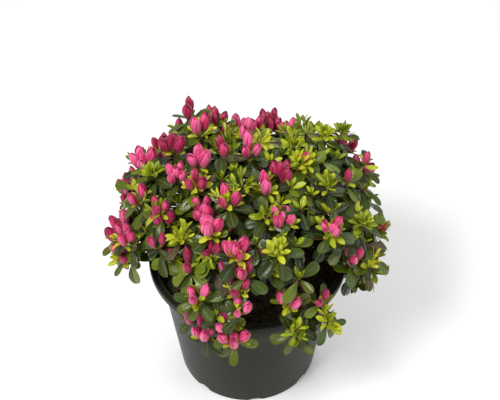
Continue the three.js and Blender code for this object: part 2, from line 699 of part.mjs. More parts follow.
// One shoot: its twig, a whorl of leaves, a whorl of young leaves and a furled bud, as one solid.
function growShoot(twig, massIndex, limbs, placed) {
  const { shoot } = twig;
  const random = seededRandom(CROWN_SEED * 1000 + shoot.index);
  const side = levelAcross(shoot.heading);
  const direction = twig.to.clone().sub(twig.from).normalize();
  const twigSide = side.clone().addScaledVector(direction, -side.dot(direction)).normalize();
  const others = placed.filter((piece) => piece !== twig.piece);
  const isFree = (leaf) => keepsToItsSpace(leaf, massIndex)
    && !limbs.some((limb) => touches(leaf, limb, LEAF_LIMB_MARGIN))
    && !others.some((other) => touches(leaf, other, LEAF_MARGIN));
  const firstTurn = (360 / LEAF_WHORL.count) * random();
  const leafWhorl = growWhorl(LEAF_WHORL, shoot, side, firstTurn, random, isFree);
  const youngTurn = firstTurn + 180 / LEAF_WHORL.count;
  const youngWhorl = growWhorl(YOUNG_WHORL, shoot, side, youngTurn, random, isFree);
  const budding = random() < MASSES[massIndex].budding;
  const along = (height) => shoot.base.clone().addScaledVector(shoot.heading, height);
  const ring = (height, radius, count) => evenRing(along(height), shoot.heading, side, radius, count);
  const rings = [
    evenRing(twig.from, direction, twigSide, twig.radius, TWIG_SIDES),
    ring(-HUB_RADIUS, TWIG_RADIUS, TWIG_SIDES),
    leafWhorl.ring,
    ring(YOUNG_WHORL.height / 2, TWIG_RADIUS, TWIG_SIDES),
    youngWhorl.ring,
    ring(BUD_FOOT_HEIGHT, BUD_FOOT_RADIUS, BUD_SIDES),
  ];
  if (budding) rings.push(ring(BUD_GIRDLE.height, BUD_GIRDLE.radius, BUD_SIDES));
  rings.push([{ turn: 0, point: along(budding ? SHOOT_LENGTH : BARE_SHOOT_LENGTH) }]);
  placed.push(...leafWhorl.leaves, ...youngWhorl.leaves);
  return ringsGeometry(rings);
}

// One mass: its stem, and the twigs and shoots fused to it.
function massGeometry(massIndex, shoots, curve, limbs) {
  const heading = curve.getTangentAt(1);
  const start = curve.getPointAt(1).addScaledVector(heading, CLEARANCE);
  const stemEnd = CENTRES[massIndex];
  const own = shoots.filter((shoot) => nearestMass(shoot.base) === massIndex);
  own.forEach((shoot) => drawIntoCell(shoot.base, massIndex));
  const twigs = growTwigs(stemEnd, heading, own);
  for (const twig of twigs) {
    twig.piece = { lines: [new THREE.Line3(twig.from, twig.to)], sheets: [], radius: TWIG_RADIUS };
  }
  const placed = twigs.map((twig) => twig.piece);
  const geometries = twigs.map((twig) => growShoot(twig, massIndex, limbs, placed));
  const stem = stemGeometry(start, heading, stemEnd);
  return mainBody(geometries.reduce((solid, geometry) => solid.add(toSolid(geometry)), toSolid(stem)));
}

// The stem of a mass, whose first face lies flat against the end of its bough.
function stemGeometry(start, heading, end) {
  const bend = start.clone().addScaledVector(heading, start.distanceTo(end) / 3);
  const curve = new THREE.QuadraticBezierCurve3(start, bend, end);
  return curvedLimb(curve, BOUGH_TIP_RADIUS, LEADER_RADIUS, STEM_SIDES, STEM_STEPS);
}

function azalea() {
  const plant = new THREE.Group();
  plant.add(namedMesh('pot', potGeometry(), PLASTIC));
  plant.add(namedMesh('soil', soilGeometry(), SOIL));
  plant.add(namedMesh('trunk', mainBody(trunkSolid(0)), BARK));

  const curves = MASSES.map(boughCurve);
  const trunkCutter = trunkSolid(CLEARANCE);
  MASSES.forEach((mass, index) => {
    plant.add(namedMesh(`bough_${mass.name}`, boughGeometry(curves[index], trunkCutter), BARK));
  });

  const limbs = curves.map((curve) => {
    const points = curve.getPoints(BOUGH_STEPS);
    const lines = points.slice(1).map((point, i) => new THREE.Line3(points[i], point));
    return { lines, sheets: [], radius: BOUGH_ROOT_RADIUS };
  });
  const trunkLine = new THREE.Line3(trunkMiddle(0), trunkMiddle(TRUNK_HEIGHT));
  limbs.push({ lines: [trunkLine], sheets: [], radius: TRUNK_FOOT_RADIUS });

  const shoots = crownShoots();
  MASSES.forEach((mass, index) => {
    const geometry = massGeometry(index, shoots, curves[index], limbs);
    plant.add(namedMesh(`foliage_${mass.name}`, geometry, FOLIAGE));
  });
  return plant;
}

export default azalea();
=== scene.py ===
from math import asin, atan2, cos, degrees, exp, fmod, hypot, pi, radians, sin, sqrt
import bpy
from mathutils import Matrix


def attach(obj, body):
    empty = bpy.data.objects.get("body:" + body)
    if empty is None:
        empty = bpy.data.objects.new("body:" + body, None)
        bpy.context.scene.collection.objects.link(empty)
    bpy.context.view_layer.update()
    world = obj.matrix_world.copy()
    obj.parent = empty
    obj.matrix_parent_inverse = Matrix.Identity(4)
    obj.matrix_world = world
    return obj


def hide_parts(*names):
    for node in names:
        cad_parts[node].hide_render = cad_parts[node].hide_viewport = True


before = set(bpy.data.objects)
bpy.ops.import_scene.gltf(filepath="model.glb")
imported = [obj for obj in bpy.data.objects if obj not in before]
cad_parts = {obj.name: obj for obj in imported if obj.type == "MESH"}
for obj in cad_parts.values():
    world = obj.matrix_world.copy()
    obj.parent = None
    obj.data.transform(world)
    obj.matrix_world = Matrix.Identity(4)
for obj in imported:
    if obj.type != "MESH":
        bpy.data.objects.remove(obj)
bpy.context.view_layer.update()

from types import SimpleNamespace

import bmesh
import bpy
import numpy as np
from mathutils import Vector
from numpy.linalg import norm

# The dressed azalea. The rule that places masses, boughs, twigs and shoots is the one of the
# solids, in millimetres, and it is carried on here to finer side shoots, real leaves and buds.
# Meshes are made in millimetres and scaled to metres as they are handed to Blender.

METRES = 0.001

# The sizes that the solids have too.

POT_HEIGHT = 146.0
POT_RIM_RADIUS = 95.0
POT_COLLAR_RADIUS = 89.6
POT_COLLAR_FOOT_RADIUS = 87.4
POT_COLLAR_FOOT = 123.0
POT_STEP_RADIUS = 84.0
POT_STEP = 120.0
POT_BASE_RADIUS = 70.5
POT_BASE_ROUND = 1.5
POT_WALL = 1.6
POT_FLOOR = 2.0
LIP_DEPTH = 7.0
NOTCH_COUNT = 8
NOTCH_WIDTH = 14.0
NOTCH_HEIGHT = 5.0
NOTCH_DEPTH = 5.0
NOTCH_FIRST_AZIMUTH = 6.0

SOIL_SWELL = 3.0
SOIL_EDGE = POT_HEIGHT - 14.0
SOIL_TOP = SOIL_EDGE + SOIL_SWELL

TRUNK_HEIGHT = 42.0
TRUNK_FOOT_RADIUS = 9.5
TRUNK_WAIST_RADIUS = 6.6
TRUNK_HEAD_RADIUS = 5.2
TRUNK_FLARE_HEIGHT = 11.0
TRUNK_LEAN = np.array([2.4, 1.4])
TRUNK_ROOTS = 5
TRUNK_ROOT_RELIEF = 0.16
BOUGH_ROOT_RADIUS = 2.3
BOUGH_TIP_RADIUS = 1.8
BOUGH_BELOW_HEAD = 4.0
BOUGH_ENDS_AT = 0.55
BOUGH_SAG = 0.16

CROWN_CENTRE = np.array([1.7, 0.0, POT_HEIGHT + 30.0])
CROWN_SPREAD = 130.0
CROWN_RISE = 121.0
CROWN_FULLNESS = 2.3
CROWN_LOWEST_ELEVATION = -13.0
CROWN_VALLEY = 0.12
CROWN_SEED = 41
SEEDS_PER_CROWN = 1000
SHOOT_COUNT = 124
SHOOT_JITTER = 5.0
SHOOT_REACH_SPREAD = 0.04
MASS_CENTRE_AT = 0.62
MASS_WIDTH = 24.0
SHOOT_UPTURN = 0.7
SHOOT_DEPTH = 21.0
SHOOT_POT_MARGIN = 5.0
LEADER_RADIUS = 1.5
HUB_RADIUS = 1.7
CLEARANCE = 0.3
DRAW_STEP = 0.04
FORK_LEAN = 0.75
FORK_FIRST = 0.06
FORK_LAST = 0.72
FORK_SPACING = 3.5
FORK_STEP = 1.0
WHORL_DRAWS = 21
GOLDEN_ANGLE = 180.0 * (3.0 - sqrt(5.0))
UP = np.array([0.0, 0.0, 1.0])

# Name, azimuth, elevation, reach, where the bough starts, share of shoots with buds.
MASSES = [
    ("top", 0, 88, 0.97, 42, 0.7),
    ("upper_front", -22, 52, 1.0, 34, 0.8),
    ("middle_front", 12, 33, 0.98, 25, 0.55),
    ("upper_front_right", 48, 49, 1.0, 30, 0.75),
    ("upper_right", 100, 46, 1.1, 34, 0.4),
    ("upper_back", 172, 48, 0.84, 30, 0.7),
    ("upper_back_left", -122, 52, 1.07, 34, 0.75),
    ("upper_left", -82, 46, 1.12, 30, 0.85),
    ("front_left", -21, 5, 1.02, 15, 0.8),
    ("front_right", 33, 1, 1.05, 15, 0.4),
    ("right_front", 68, 14, 1.09, 21, 0.45),
    ("right_back", 114, 10, 1.0, 15, 0.5),
    ("back_right", 157, 8, 1.0, 21, 0.6),
    ("back_left", -157, 8, 1.0, 15, 0.6),
    ("left_back", -112, 10, 1.0, 21, 0.6),
    ("left_front", -69, 13, 1.07, 15, 0.85),
]

# Azimuth, elevation, half width and half height of each opening in the crown.
CROWN_OPENINGS = [
    (8, 2, 10, 21),
    (37, 19, 11, 11),
    (-42, 0, 12, 14),
    (54, -6, 12, 12),
    (-68, -12, 26, 10),
]

# The same of each dip in its outline, where no shoot grows but neighbouring leaves lean in.
CROWN_DIPS = [
    (-109, 47, 9, 7),
]

# The sizes of what grows on here. A pair is the two ends of a range, and a shake is how far a
# seeded number moves a value either way.

TWIG_ROOT_RADIUS = 1.25
TWIG_TIP_RADIUS = 0.62
TWIG_BEND = 0.38
TWIG_STEP = 6
TWIG_FEWEST_POINTS = 4
STALK_HEIGHTS = (1.5, 3.0)

SIDE_TRIES = 9
SIDE_SPREAD = (15.0, 22.0)
SIDE_DROP = (1.0, 8.0)
SIDE_LEAN = 0.34
SIDE_SPACING = 17.0
SIDE_CELL_MARGIN = 2.0
SIDE_TOP = 20.0
SIDE_BUDDING = 0.62
SIDE_SEED = 500
SIDE_FIRST_INDEX = 1000
SIDE_INDEX_STEP = 10
SIDE_TWIG_RADIUS = 0.8
SIDE_TWIG_BEND = 0.45
SIDE_TWIG_POINTS = 6
SIDE_FORK_BACK = (13, 22)
SIDE_FORK_AT = (0.25, 0.86)

MATURE_LEAVES = (6, 9)
MATURE_FOOT = 0.5
MATURE_LENGTH = 23.5
MATURE_LENGTHS = (0.8, 1.08)
WHORL_HEIGHTS = (-9.0, 1.0)
WHORL_SPLAYS = (104, 64)
WHORL_SHAKE = 12
WHORL_TAPER = 0.14
OLD_SHARE = 0.012
LEAF_OVERHANG = 10.0

INNER_SPACING = 5.0
INNER_LENGTH = 0.55
INNER_FROM = 0.42
INNER_SPAN = 0.5
INNER_LENGTHS = (0.72, 1.0)
INNER_SPLAYS = (62, 112)
# Inner leaves keep to the three darkest mature tones: the darker green of older leaves, with
# painted shade for the crown's depth.
INNER_OLD_AND_SHADED_TONES = (0, 2)
INNER_OLD_SHARE = 0.01
INNER_WILT = 12

YOUNG_LEAVES = (3, 4)
YOUNG_FOOT = 0.4
YOUNG_LENGTH = 15.0
YOUNG_LENGTHS = (0.8, 1.12)
YOUNG_TURN_SHAKE = 14
YOUNG_SPLAY_SHAKE = 9
YOUNG_TAPER = 0.36
TIP_UPTURN = 4.0
RING_RISE = 2.0
# More leaves, splays from the lowest to the highest, and size of the ring at a shoot's tip.
OPEN_RING = (0, (66, 40), 1.0)
CLOSED_RING = (2, (50, 12), 0.8)
DULL_TONE = 2

FRESH_SHARE = 0.62
FRESH_SIDE_SHARE = 0.3
YOUNG_SPRIGS = (3, 4)
SPRIG_LEAVES = (5, 7)
SPRIG_LENGTH = (5.0, 14.0)
SPRIG_SPLAY = (8, 44)
SPRIG_SPLAY_ROUND_BUDS = (24, 52)
SPRIG_SHAKE = 0.3
SPRIG_RADII = [0.6, 0.5, 0.4]
SPRIG_BARE = 0.35
SPRIG_LEAF_SPLAYS = (60, 12)
SPRIG_LEAF_SIZE = 0.86

BUD_COUNTS = [2, 1, 2, 3, 3, 3, 4, 5]
BUD_LENGTH = 21.5
BUD_RADIUS = 4.1
BUD_SIZES = (0.7, 1.04)
BUD_SIZE_POWER = 0.6
LONE_BUD_SIZE = 0.88
BUD_OWN_SIZES = (0.78, 1.12)
BUD_GIRTHS = (0.94, 1.05)
BUD_GIRTH_POWER = 0.8
BUD_DISTANCES = (0.8, 1.0)
MIDDLE_BUD_SPLAY = (0, 8)
RING_BUD_SPLAY = (4, 20)
BUD_SHAKE = 0.25
BUD_FOOT_HEIGHTS = (1.5, 5.5)
BUD_STALK_RADII = [0.7, 0.7, 0.9]
BUD_PLUMPNESS = (-0.12, 0.1)
BUD_LEAN = 0.35
PETAL_TWIST = (25, 70)
PETAL_SHAKE = 0.14
PETAL_REACH = (0.85, 1.02)

# Colours of leaves and petals from dark to light, as red, green and blue of 255. The slots of
# a leaf's or bud's mesh are its tones in this order, and then its other looks.
MATURE_COLORS = [(34, 46, 8), (48, 58, 8), (56, 72, 10), (76, 85, 12), (90, 106, 14)]
YOUNG_COLORS = [
    (108, 122, 16), (130, 142, 16), (148, 158, 18), (164, 172, 24), (180, 182, 34),
]
PINK_COLORS = [(136, 12, 54), (168, 28, 78), (200, 50, 104), (224, 92, 142)]
MATURE_TONES, YOUNG_TONES, PINK_TONES = len(MATURE_COLORS), len(YOUNG_COLORS), len(PINK_COLORS)
MATURE_RIB, OLD_TONE = MATURE_TONES, MATURE_TONES + 1
YOUNG_RIB = YOUNG_TONES
# Slots after the pink tones: a deeper pink with painted shade for the folds between petals and the
# bud's core, a lighter pink as a painted highlight along the petals' margins, and the scales.
CREASE_SHADE_TONE, EDGE_HIGHLIGHT_TONE, BRACT_TONE = PINK_TONES, PINK_TONES + 1, PINK_TONES + 2

# Where each of the three groups of masses ends, whose leaves and buds are one piece each.
GROUP_ENDS = [6, 11, len(MASSES)]

MASK = 0xFFFFFFFF


class SeededRandom:
    """Repeatable numbers from 0 to 1, by the same 32-bit mixing rule as the solids."""

    def __init__(self, seed):
        self.state = seed & MASK

    def __call__(self):
        self.state = (self.state + 0x6D2B79F5) & MASK
        s = self.state
        mixed = ((s ^ (s >> 15)) * (s | 1)) & MASK
        mixed ^= (mixed + (((mixed ^ (mixed >> 7)) * (mixed | 61)) & MASK)) & MASK
        return ((mixed ^ (mixed >> 14)) & MASK) / 2**32

    def shake(self):
        return 2.0 * self() - 1.0

    def between(self, low, high):
        return low + (high - low) * self()

    def angle(self, low, high):
        return radians(self.between(low, high))

    def choose(self, low, high):
        return low + int(self() * (high - low + 1))


def rng_for(index):
    """The numbers of one shoot, which don't depend on what grew before it."""
    return SeededRandom(CROWN_SEED * SEEDS_PER_CROWN + index)


def unit(vector):
    return vector / norm(vector)


def lerp(one, other, share):
    return one + (other - one) * share


def circle(sides):
    """The angles of equal steps round a circle."""
    return np.arange(sides) * 2 * np.pi / sides


def direction_at(azimuth, elevation):
    a, e = radians(azimuth), radians(elevation)
    return np.array([sin(a) * cos(e), -cos(a) * cos(e), sin(e)])


def level_across(direction):
    across = np.array([-direction[1], direction[0], 0.0])
    length = norm(across)
    return across / length if length > 0 else np.array([1.0, 0.0, 0.0])


class Stem:
    """A direction of growth, with a direction to its side and one square to both."""

    def __init__(self, heading, side=None):
        self.heading = heading
        self.side = level_across(heading) if side is None else side
        self.across = np.cross(heading, self.side)

    def outward(self, turn):
        return self.side * cos(turn) + self.across * sin(turn)

    def splayed(self, turn, splay=pi / 2):
        return self.outward(turn) * sin(splay) + self.heading * cos(splay)


# The crown's rule.

MASS_DIRECTIONS = np.array([direction_at(m[1], m[2]) for m in MASSES])
MASS_REACHES = np.array([m[3] for m in MASSES])


def crown_reach(direction):
    level = hypot(direction[0], direction[1]) / CROWN_SPREAD
    rise = abs(direction[2]) / CROWN_RISE
    dome = (level**CROWN_FULLNESS + rise**CROWN_FULLNESS) ** (-1.0 / CROWN_FULLNESS)
    angles = np.degrees(np.arccos(np.clip(MASS_DIRECTIONS @ direction, -1, 1)))
    weights = np.exp(-((angles / MASS_WIDTH) ** 2))
    reach = (weights * MASS_REACHES).sum() / weights.sum()
    valley = 1.0 - exp(-((angles.min() / MASS_WIDTH) ** 2))
    return dome * reach * (1.0 - CROWN_VALLEY * valley)


def in_opening(azimuth, elevation, openings=CROWN_OPENINGS):
    for at, rise, half_width, half_height in openings:
        turn = fmod(azimuth - at + 540.0, 360.0) - 180.0
        if (turn / half_width) ** 2 + ((elevation - rise) / half_height) ** 2 < 1:
            return True
    return False


def clear_of_pot(point, margin):
    level = hypot(point[0], point[1])
    return point[2] > POT_HEIGHT + margin or level > POT_RIM_RADIUS + margin


def inside_radius(height):
    return POT_BASE_RADIUS + (POT_STEP_RADIUS - POT_BASE_RADIUS) / POT_STEP * height - POT_WALL


def cuts_pot(points):
    """Whether a leaf with these corners would run into the pot's wall or its rim."""
    radius, height = np.hypot(points[:, 0], points[:, 1]), points[:, 2]
    share = (height - POT_COLLAR_FOOT) / (POT_HEIGHT - POT_COLLAR_FOOT)
    wall = np.where(share > 0, lerp(POT_COLLAR_FOOT_RADIUS, POT_COLLAR_RADIUS, share),
                    inside_radius(height) + POT_WALL)
    beside_lip = height > POT_HEIGHT - LIP_DEPTH - CLEARANCE
    outer = np.where(beside_lip, POT_RIM_RADIUS, wall) + CLEARANCE
    inner = wall - POT_WALL - CLEARANCE
    low = height < POT_HEIGHT + CLEARANCE
    outside, inside = low & (radius > outer), low & (radius < inner)
    return bool((low & ~outside & ~inside).any() or (outside.any() and inside.any()))


CENTRES = np.array([CROWN_CENTRE + direction * crown_reach(direction) * MASS_CENTRE_AT
                    for direction in MASS_DIRECTIONS])


def depth_in_cell(point, mass):
    """How far inside the space of its mass a point lies."""
    own = CENTRES[mass]
    gains = ((point - CENTRES) ** 2).sum(1) - ((point - own) ** 2).sum()
    spans = norm(CENTRES - own, axis=1)
    spans[mass] = 1.0
    depths = gains / (2.0 * spans)
    depths[mass] = np.inf
    return depths.min()


def crown_shoots():
    rng = SeededRandom(CROWN_SEED)
    lowest = sin(radians(CROWN_LOWEST_ELEVATION))
    shoots = []
    for i in range(SHOOT_COUNT):
        height = 1.0 - ((1.0 - lowest) * (i + 0.5)) / SHOOT_COUNT
        turn = fmod(i * GOLDEN_ANGLE, 360.0)
        azimuth = turn + SHOOT_JITTER * rng.shake()
        elevation = degrees(asin(height)) + SHOOT_JITTER * rng.shake()
        if in_opening(azimuth, elevation):
            continue
        outward = direction_at(azimuth, elevation)
        reach = crown_reach(outward) * (1.0 + SHOOT_REACH_SPREAD * rng.shake())
        tip = CROWN_CENTRE + outward * reach
        heading = unit(outward + UP * SHOOT_UPTURN)
        base = tip - heading * SHOOT_DEPTH
        if (not clear_of_pot(base, SHOOT_POT_MARGIN)
                or in_opening(azimuth, elevation, CROWN_DIPS)):
            continue
        mass = int(np.argmin(((CENTRES - base) ** 2).sum(1)))
        while depth_in_cell(base, mass) < HUB_RADIUS + CLEARANCE:
            base = lerp(base, CENTRES[mass], DRAW_STEP)
        shoots.append(SimpleNamespace(index=i, base=base, heading=heading, mass=mass))
    return shoots


def trunk_middle(height):
    share = height / TRUNK_HEIGHT
    return np.array([TRUNK_LEAN[0] * share, TRUNK_LEAN[1] * share, SOIL_TOP + height])


def bough_points(mass):
    """Start, bend and end of the bough's curve."""
    start = trunk_middle(min(MASSES[mass][4], TRUNK_HEIGHT - BOUGH_BELOW_HEAD))
    end = lerp(start, CENTRES[mass], BOUGH_ENDS_AT)
    bend = lerp(start, end, 0.5)
    bend[2] -= BOUGH_SAG * hypot(end[0] - start[0], end[1] - start[1])
    return start, bend, end


def bezier(start, bend, end, count):
    s = np.linspace(0, 1, count)[:, None]
    return (1 - s) ** 2 * start + 2 * (1 - s) * s * bend + s**2 * end


def grow_twigs(mass, shoots):
    """The twigs of a mass: the leader first, then one for every other shoot."""
    _, bend, end = bough_points(mass)
    heading = unit(end - bend)
    stem_end = CENTRES[mass]
    first, *rest = sorted(shoots, key=lambda shoot: -((shoot.base - stem_end) @ heading))
    line = first.base - stem_end
    twigs = []

    def add(start, shoot, root):
        twigs.append(SimpleNamespace(start=start, shoot=shoot, forks=[], root=root))

    def aside(shoot):
        share = np.clip(((shoot.base - stem_end) @ line) / (line @ line), 0, 1)
        return norm(shoot.base - stem_end - line * share)

    def fork_on(twig, target):
        direction = twig.shoot.base - twig.start
        length = norm(direction)
        direction = direction / length
        foot = (target - twig.start) @ direction
        off = norm(target - twig.start - direction * foot)
        along = min(max(foot - off * FORK_LEAN, FORK_FIRST * length), FORK_LAST * length)
        while any(abs(taken - along) < FORK_SPACING for taken in twig.forks):
            along -= FORK_STEP
        point = twig.start + direction * along
        detour = np.inf if along < 0 else norm(point - target)
        return detour, along, point, twig

    add(stem_end, first, LEADER_RADIUS)
    for shoot in sorted(rest, key=aside):
        forks = [fork_on(twig, shoot.base) for twig in twigs]
        _, along, point, parent = min(forks, key=lambda fork: fork[0])
        parent.forks.append(along)
        add(point, shoot, TWIG_ROOT_RADIUS)
    return twigs


def bearing(point):
    """Azimuth and elevation of a point as seen from the middle of the crown."""
    outward = unit(point - CROWN_CENTRE)
    return degrees(atan2(outward[0], -outward[1])), degrees(asin(outward[2]))


def inside_crown(point):
    outward = point - CROWN_CENTRE
    distance = norm(outward)
    return (distance < crown_reach(outward / distance)
            and not in_opening(*bearing(point), CROWN_OPENINGS + CROWN_DIPS))


def in_gap(point):
    """Whether a leaf's point closes an opening, past the leaves that overhang its upper edge."""
    azimuth, elevation = bearing(point)
    return in_opening(azimuth, elevation) and in_opening(azimuth, elevation + LEAF_OVERHANG)


def side_shoots(twigs):
    """Finer shoots beside each shoot of the rule, where there is room, with their parent twigs."""
    taken = [twig.shoot.base for twig in twigs]
    found = []
    for twig in twigs:
        shoot = twig.shoot
        rng = rng_for(SIDE_SEED + shoot.index)
        stem = Stem(shoot.heading)
        first = 360.0 * rng()
        for k in range(SIDE_TRIES):
            off = stem.outward(radians(first + k * GOLDEN_ANGLE))
            spread, drop = rng.between(*SIDE_SPREAD), rng.between(*SIDE_DROP)
            base = shoot.base + off * spread - shoot.heading * drop
            heading = unit(shoot.heading + SIDE_LEAN * off)
            tip = base + heading * SIDE_TOP
            if (depth_in_cell(base, shoot.mass) < SIDE_CELL_MARGIN
                    or not inside_crown(tip)
                    or not clear_of_pot(base, SHOOT_POT_MARGIN)
                    or bearing(tip)[1] < CROWN_LOWEST_ELEVATION
                    or min(norm(np.array(taken) - base, axis=1)) < SIDE_SPACING):
                continue
            taken.append(base)
            index = SIDE_FIRST_INDEX + SIDE_INDEX_STEP * shoot.index + k
            found.append((twig, SimpleNamespace(index=index, base=base, heading=heading)))
    return found


# Mesh building.

LEAF_UV_LAYER = "blade"
CAP_SIZE = 0.02


class Mesh:
    """Corners, faces and the slot of each face, gathered from arrays."""

    def __init__(self):
        self.points, self.quads, self.slots, self.uvs = [], [], [], []
        self.count = 0
        self.has_uvs = False

    def add(self, points, quads, slots, uvs=None):
        self.points.append(points)
        self.quads.append(quads + self.count)
        self.slots.append(np.broadcast_to(slots, len(quads)))
        self.uvs.append(np.zeros((len(points), 2)) if uvs is None else uvs)
        self.has_uvs = self.has_uvs or uvs is not None
        self.count += len(points)

    def object(self, name, materials):
        points = np.concatenate(self.points) * METRES
        quads = np.concatenate(self.quads)
        mesh = bpy.data.meshes.new(name)
        mesh.vertices.add(len(points))
        mesh.vertices.foreach_set("co", points.astype(np.float32).ravel())
        mesh.loops.add(quads.size)
        mesh.loops.foreach_set("vertex_index", quads.astype(np.int32).ravel())
        mesh.polygons.add(len(quads))
        mesh.polygons.foreach_set("loop_start", np.arange(0, quads.size, 4, dtype=np.int32))
        slots = np.concatenate(self.slots).astype(np.int32)
        mesh.polygons.foreach_set("material_index", slots)
        mesh.polygons.foreach_set("use_smooth", np.full(len(quads), True))
        if self.has_uvs:
            uvs = np.concatenate(self.uvs)[quads.ravel()].astype(np.float32)
            mesh.uv_layers.new(name=LEAF_UV_LAYER).data.foreach_set("uv", uvs.ravel())
        mesh.update(calc_edges=True)
        mesh.validate()
        for material in materials:
            mesh.materials.append(material)
        return new_object(name, mesh)


def new_object(name, data):
    made = bpy.data.objects.new(name, data)
    bpy.context.scene.collection.objects.link(made)
    return made


def grid_quads(rows, columns, closed=False):
    """Quads of a grid of corners; a closed grid joins its last column to its first."""
    steps = columns if closed else columns - 1
    r, c = np.meshgrid(np.arange(rows - 1), np.arange(steps), indexing="ij")
    here, beside = r * columns + c, r * columns + (c + 1) % columns
    return np.stack([here, beside, beside + columns, here + columns], -1).reshape(-1, 4)


def add_rings(mesh, rings, slot):
    """Joins rings of corners in turn by quads."""
    mesh.add(np.concatenate(rings), grid_quads(len(rings), len(rings[0]), closed=True), slot)


def tube(mesh, path, radii, sides, slot, relief=None):
    """A closed tapering tube along a path, with an optional relief of its skin."""
    path, radii = np.asarray(path, float), np.asarray(radii, float)
    tangents = np.gradient(path, axis=0)
    tangents /= norm(tangents, axis=1)[:, None]
    normal = level_across(tangents[0])
    turns = circle(sides)
    rings = []
    for i, (centre, tangent) in enumerate(zip(path, tangents)):
        normal = unit(normal - tangent * (normal @ tangent))
        other = np.cross(tangent, normal)
        radius = np.full(sides, radii[i])
        if relief is not None:
            radius = radius * relief(i, turns)
        rings.append(centre + np.outer(np.cos(turns) * radius, normal)
                     + np.outer(np.sin(turns) * radius, other))
    caps = [path[end] + (rings[end] - path[end]) * CAP_SIZE for end in (0, -1)]
    add_rings(mesh, [caps[0], *rings, caps[1]], slot)


def edit_mesh(data, edit):
    work = bmesh.new()
    work.from_mesh(data)
    edit(work)
    work.to_mesh(data)
    work.free()


def turn_outwards(work):
    """Welds the points that fall together and turns the faces of closed meshes outwards."""
    bmesh.ops.remove_doubles(work, verts=work.verts, dist=1e-6)
    bmesh.ops.recalc_face_normals(work, faces=work.faces)


def split_large_faces(work):
    """Splits the faces that have more than four corners into triangles."""
    bmesh.ops.triangulate(work, faces=[face for face in work.faces if len(face.verts) > 4])


# Leaves.


class Blade:
    """One kind of leaf: the rows and columns of its corners, whose middle strip is the rib, and
    ranges for its width, its bend from foot to tip, the rise of its margins, called its cup, and
    the curl of their edges."""

    BEND_POWER, CUP_POWER, CURL_POWER, GROOVE_WIDTH = 1.3, 1.4, 4, 0.12

    def __init__(self, rows, outline, columns, **settings):
        vars(self).update(settings)
        self.rows, self.outline, self.columns = map(np.array, (rows, outline, columns))
        self.quads = grid_quads(len(rows), len(columns))
        self.is_rib = self.quads[:, 0] % len(columns) == len(columns) // 2 - 1
        u, v = np.meshgrid(self.columns * 0.5 + 0.5, self.rows)
        self.uvs = np.stack([u, v], -1).reshape(-1, 2)

    def grow(self, mesh, rng, foot, stem, turn, splay, length, tone, wilt=0.0):
        """Adds a leaf, unless it runs into the pot or a watched corner closes an opening."""
        roll = radians(self.roll) * rng.shake()
        along = stem.splayed(turn, splay)
        upper = unit(stem.heading - along * (stem.heading @ along))
        upper = upper * cos(roll) + np.cross(along, upper) * sin(roll)
        width = length * self.width * rng.between(*self.widths)
        bend = radians(rng.between(*self.bends) + wilt)
        cup = rng.between(*self.cups)
        curl = rng.between(*self.curls) if self.curls else self.fixed_curl
        side = np.cross(along, upper)
        angles = bend * self.rows**self.BEND_POWER
        steps = np.diff(self.rows, prepend=0.0) * length
        halfway = angles - np.diff(angles, prepend=0.0) / 2
        strides = np.cos(halfway)[:, None] * along - np.sin(halfway)[:, None] * upper
        line = foot + np.cumsum(steps[:, None] * strides, axis=0)
        normals = np.cos(angles)[:, None] * upper + np.sin(angles)[:, None] * along
        half = self.outline * width / 2
        lean = np.abs(self.columns)
        rise = half[:, None] * (cup * lean**self.CUP_POWER - curl * lean**self.CURL_POWER)
        rise -= self.groove * half[:, None] * np.exp(-((self.columns / self.GROOVE_WIDTH) ** 2))
        points = (line[:, None, :] + np.outer(half, self.columns)[..., None] * side
                  + rise[..., None] * normals[:, None, :])
        points = points.reshape(-1, 3)
        if not cuts_pot(points) and not any(in_gap(points[i]) for i in self.watched):
            mesh.add(points, self.quads, np.where(self.is_rib, self.rib_slot, tone), self.uvs)


# The corners watched are a mature leaf's tip and middle.
MATURE = Blade(
    [0.0, 0.08, 0.2, 0.34, 0.48, 0.62, 0.75, 0.86, 0.94, 0.982, 1.0],
    [0.1, 0.14, 0.36, 0.62, 0.84, 0.97, 1.0, 0.88, 0.62, 0.36, 0.1],
    [-1.0, -0.66, -0.3, -0.055, 0.055, 0.3, 0.66, 1.0],
    rib_slot=MATURE_RIB, watched=(-4, 43), roll=22, width=0.46, widths=(0.88, 1.1),
    bends=(8, 52), cups=(-0.12, 0.34), groove=0.10, curls=(0.0, 0.22),
)
YOUNG = Blade(
    [0.0, 0.12, 0.3, 0.5, 0.68, 0.84, 0.95, 1.0],
    [0.2, 0.34, 0.72, 0.97, 0.98, 0.76, 0.42, 0.12],
    [-1.0, -0.5, -0.07, 0.07, 0.5, 1.0],
    rib_slot=YOUNG_RIB, watched=(), roll=20, width=0.4, widths=(0.85, 1.15),
    bends=(-24, 34), cups=(0.15, 0.6), groove=0.12, curls=None, fixed_curl=0.05,
)


# Buds: five petals furled round each other, each with one margin tucked under the next.

PETALS = 5
PETAL_ROWS = np.array([0.0, 0.12, 0.28, 0.45, 0.62, 0.78, 0.91, 1.0])
PETAL_COLUMNS = np.array([-0.6, -0.28, -0.12, 0.14, 0.36, 0.48, 0.78, 0.93, 1.0])
PETAL_WRINKLE = np.array([0.0, -0.02, 0.01, 0.02, -0.03, -0.03, 0.025, -0.005, 0.0])
PETAL_HALF = np.radians([62.0, 62.0, 60.0, 58.0, 57.0, 57.0, 62.0, 70.0])
BUD_SHAPE = np.array([0.3, 0.54, 0.83, 0.99, 1.0, 0.86, 0.54, 0.06])
# A petal's girth as a share of the bud's: its tuck from margin to margin and its keel.
PETAL_TUCK = 1.0 + (0.04 + 0.06 * PETAL_ROWS[:, None]) * PETAL_COLUMNS + PETAL_WRINKLE
PETAL_KEEL = np.outer(np.sin(np.pi * PETAL_ROWS), np.exp(-(((PETAL_COLUMNS - 0.3) / 0.4) ** 2)))
PETAL_GIRTH = PETAL_TUCK + 0.06 * PETAL_KEEL
PETAL_THICKNESS = 0.03
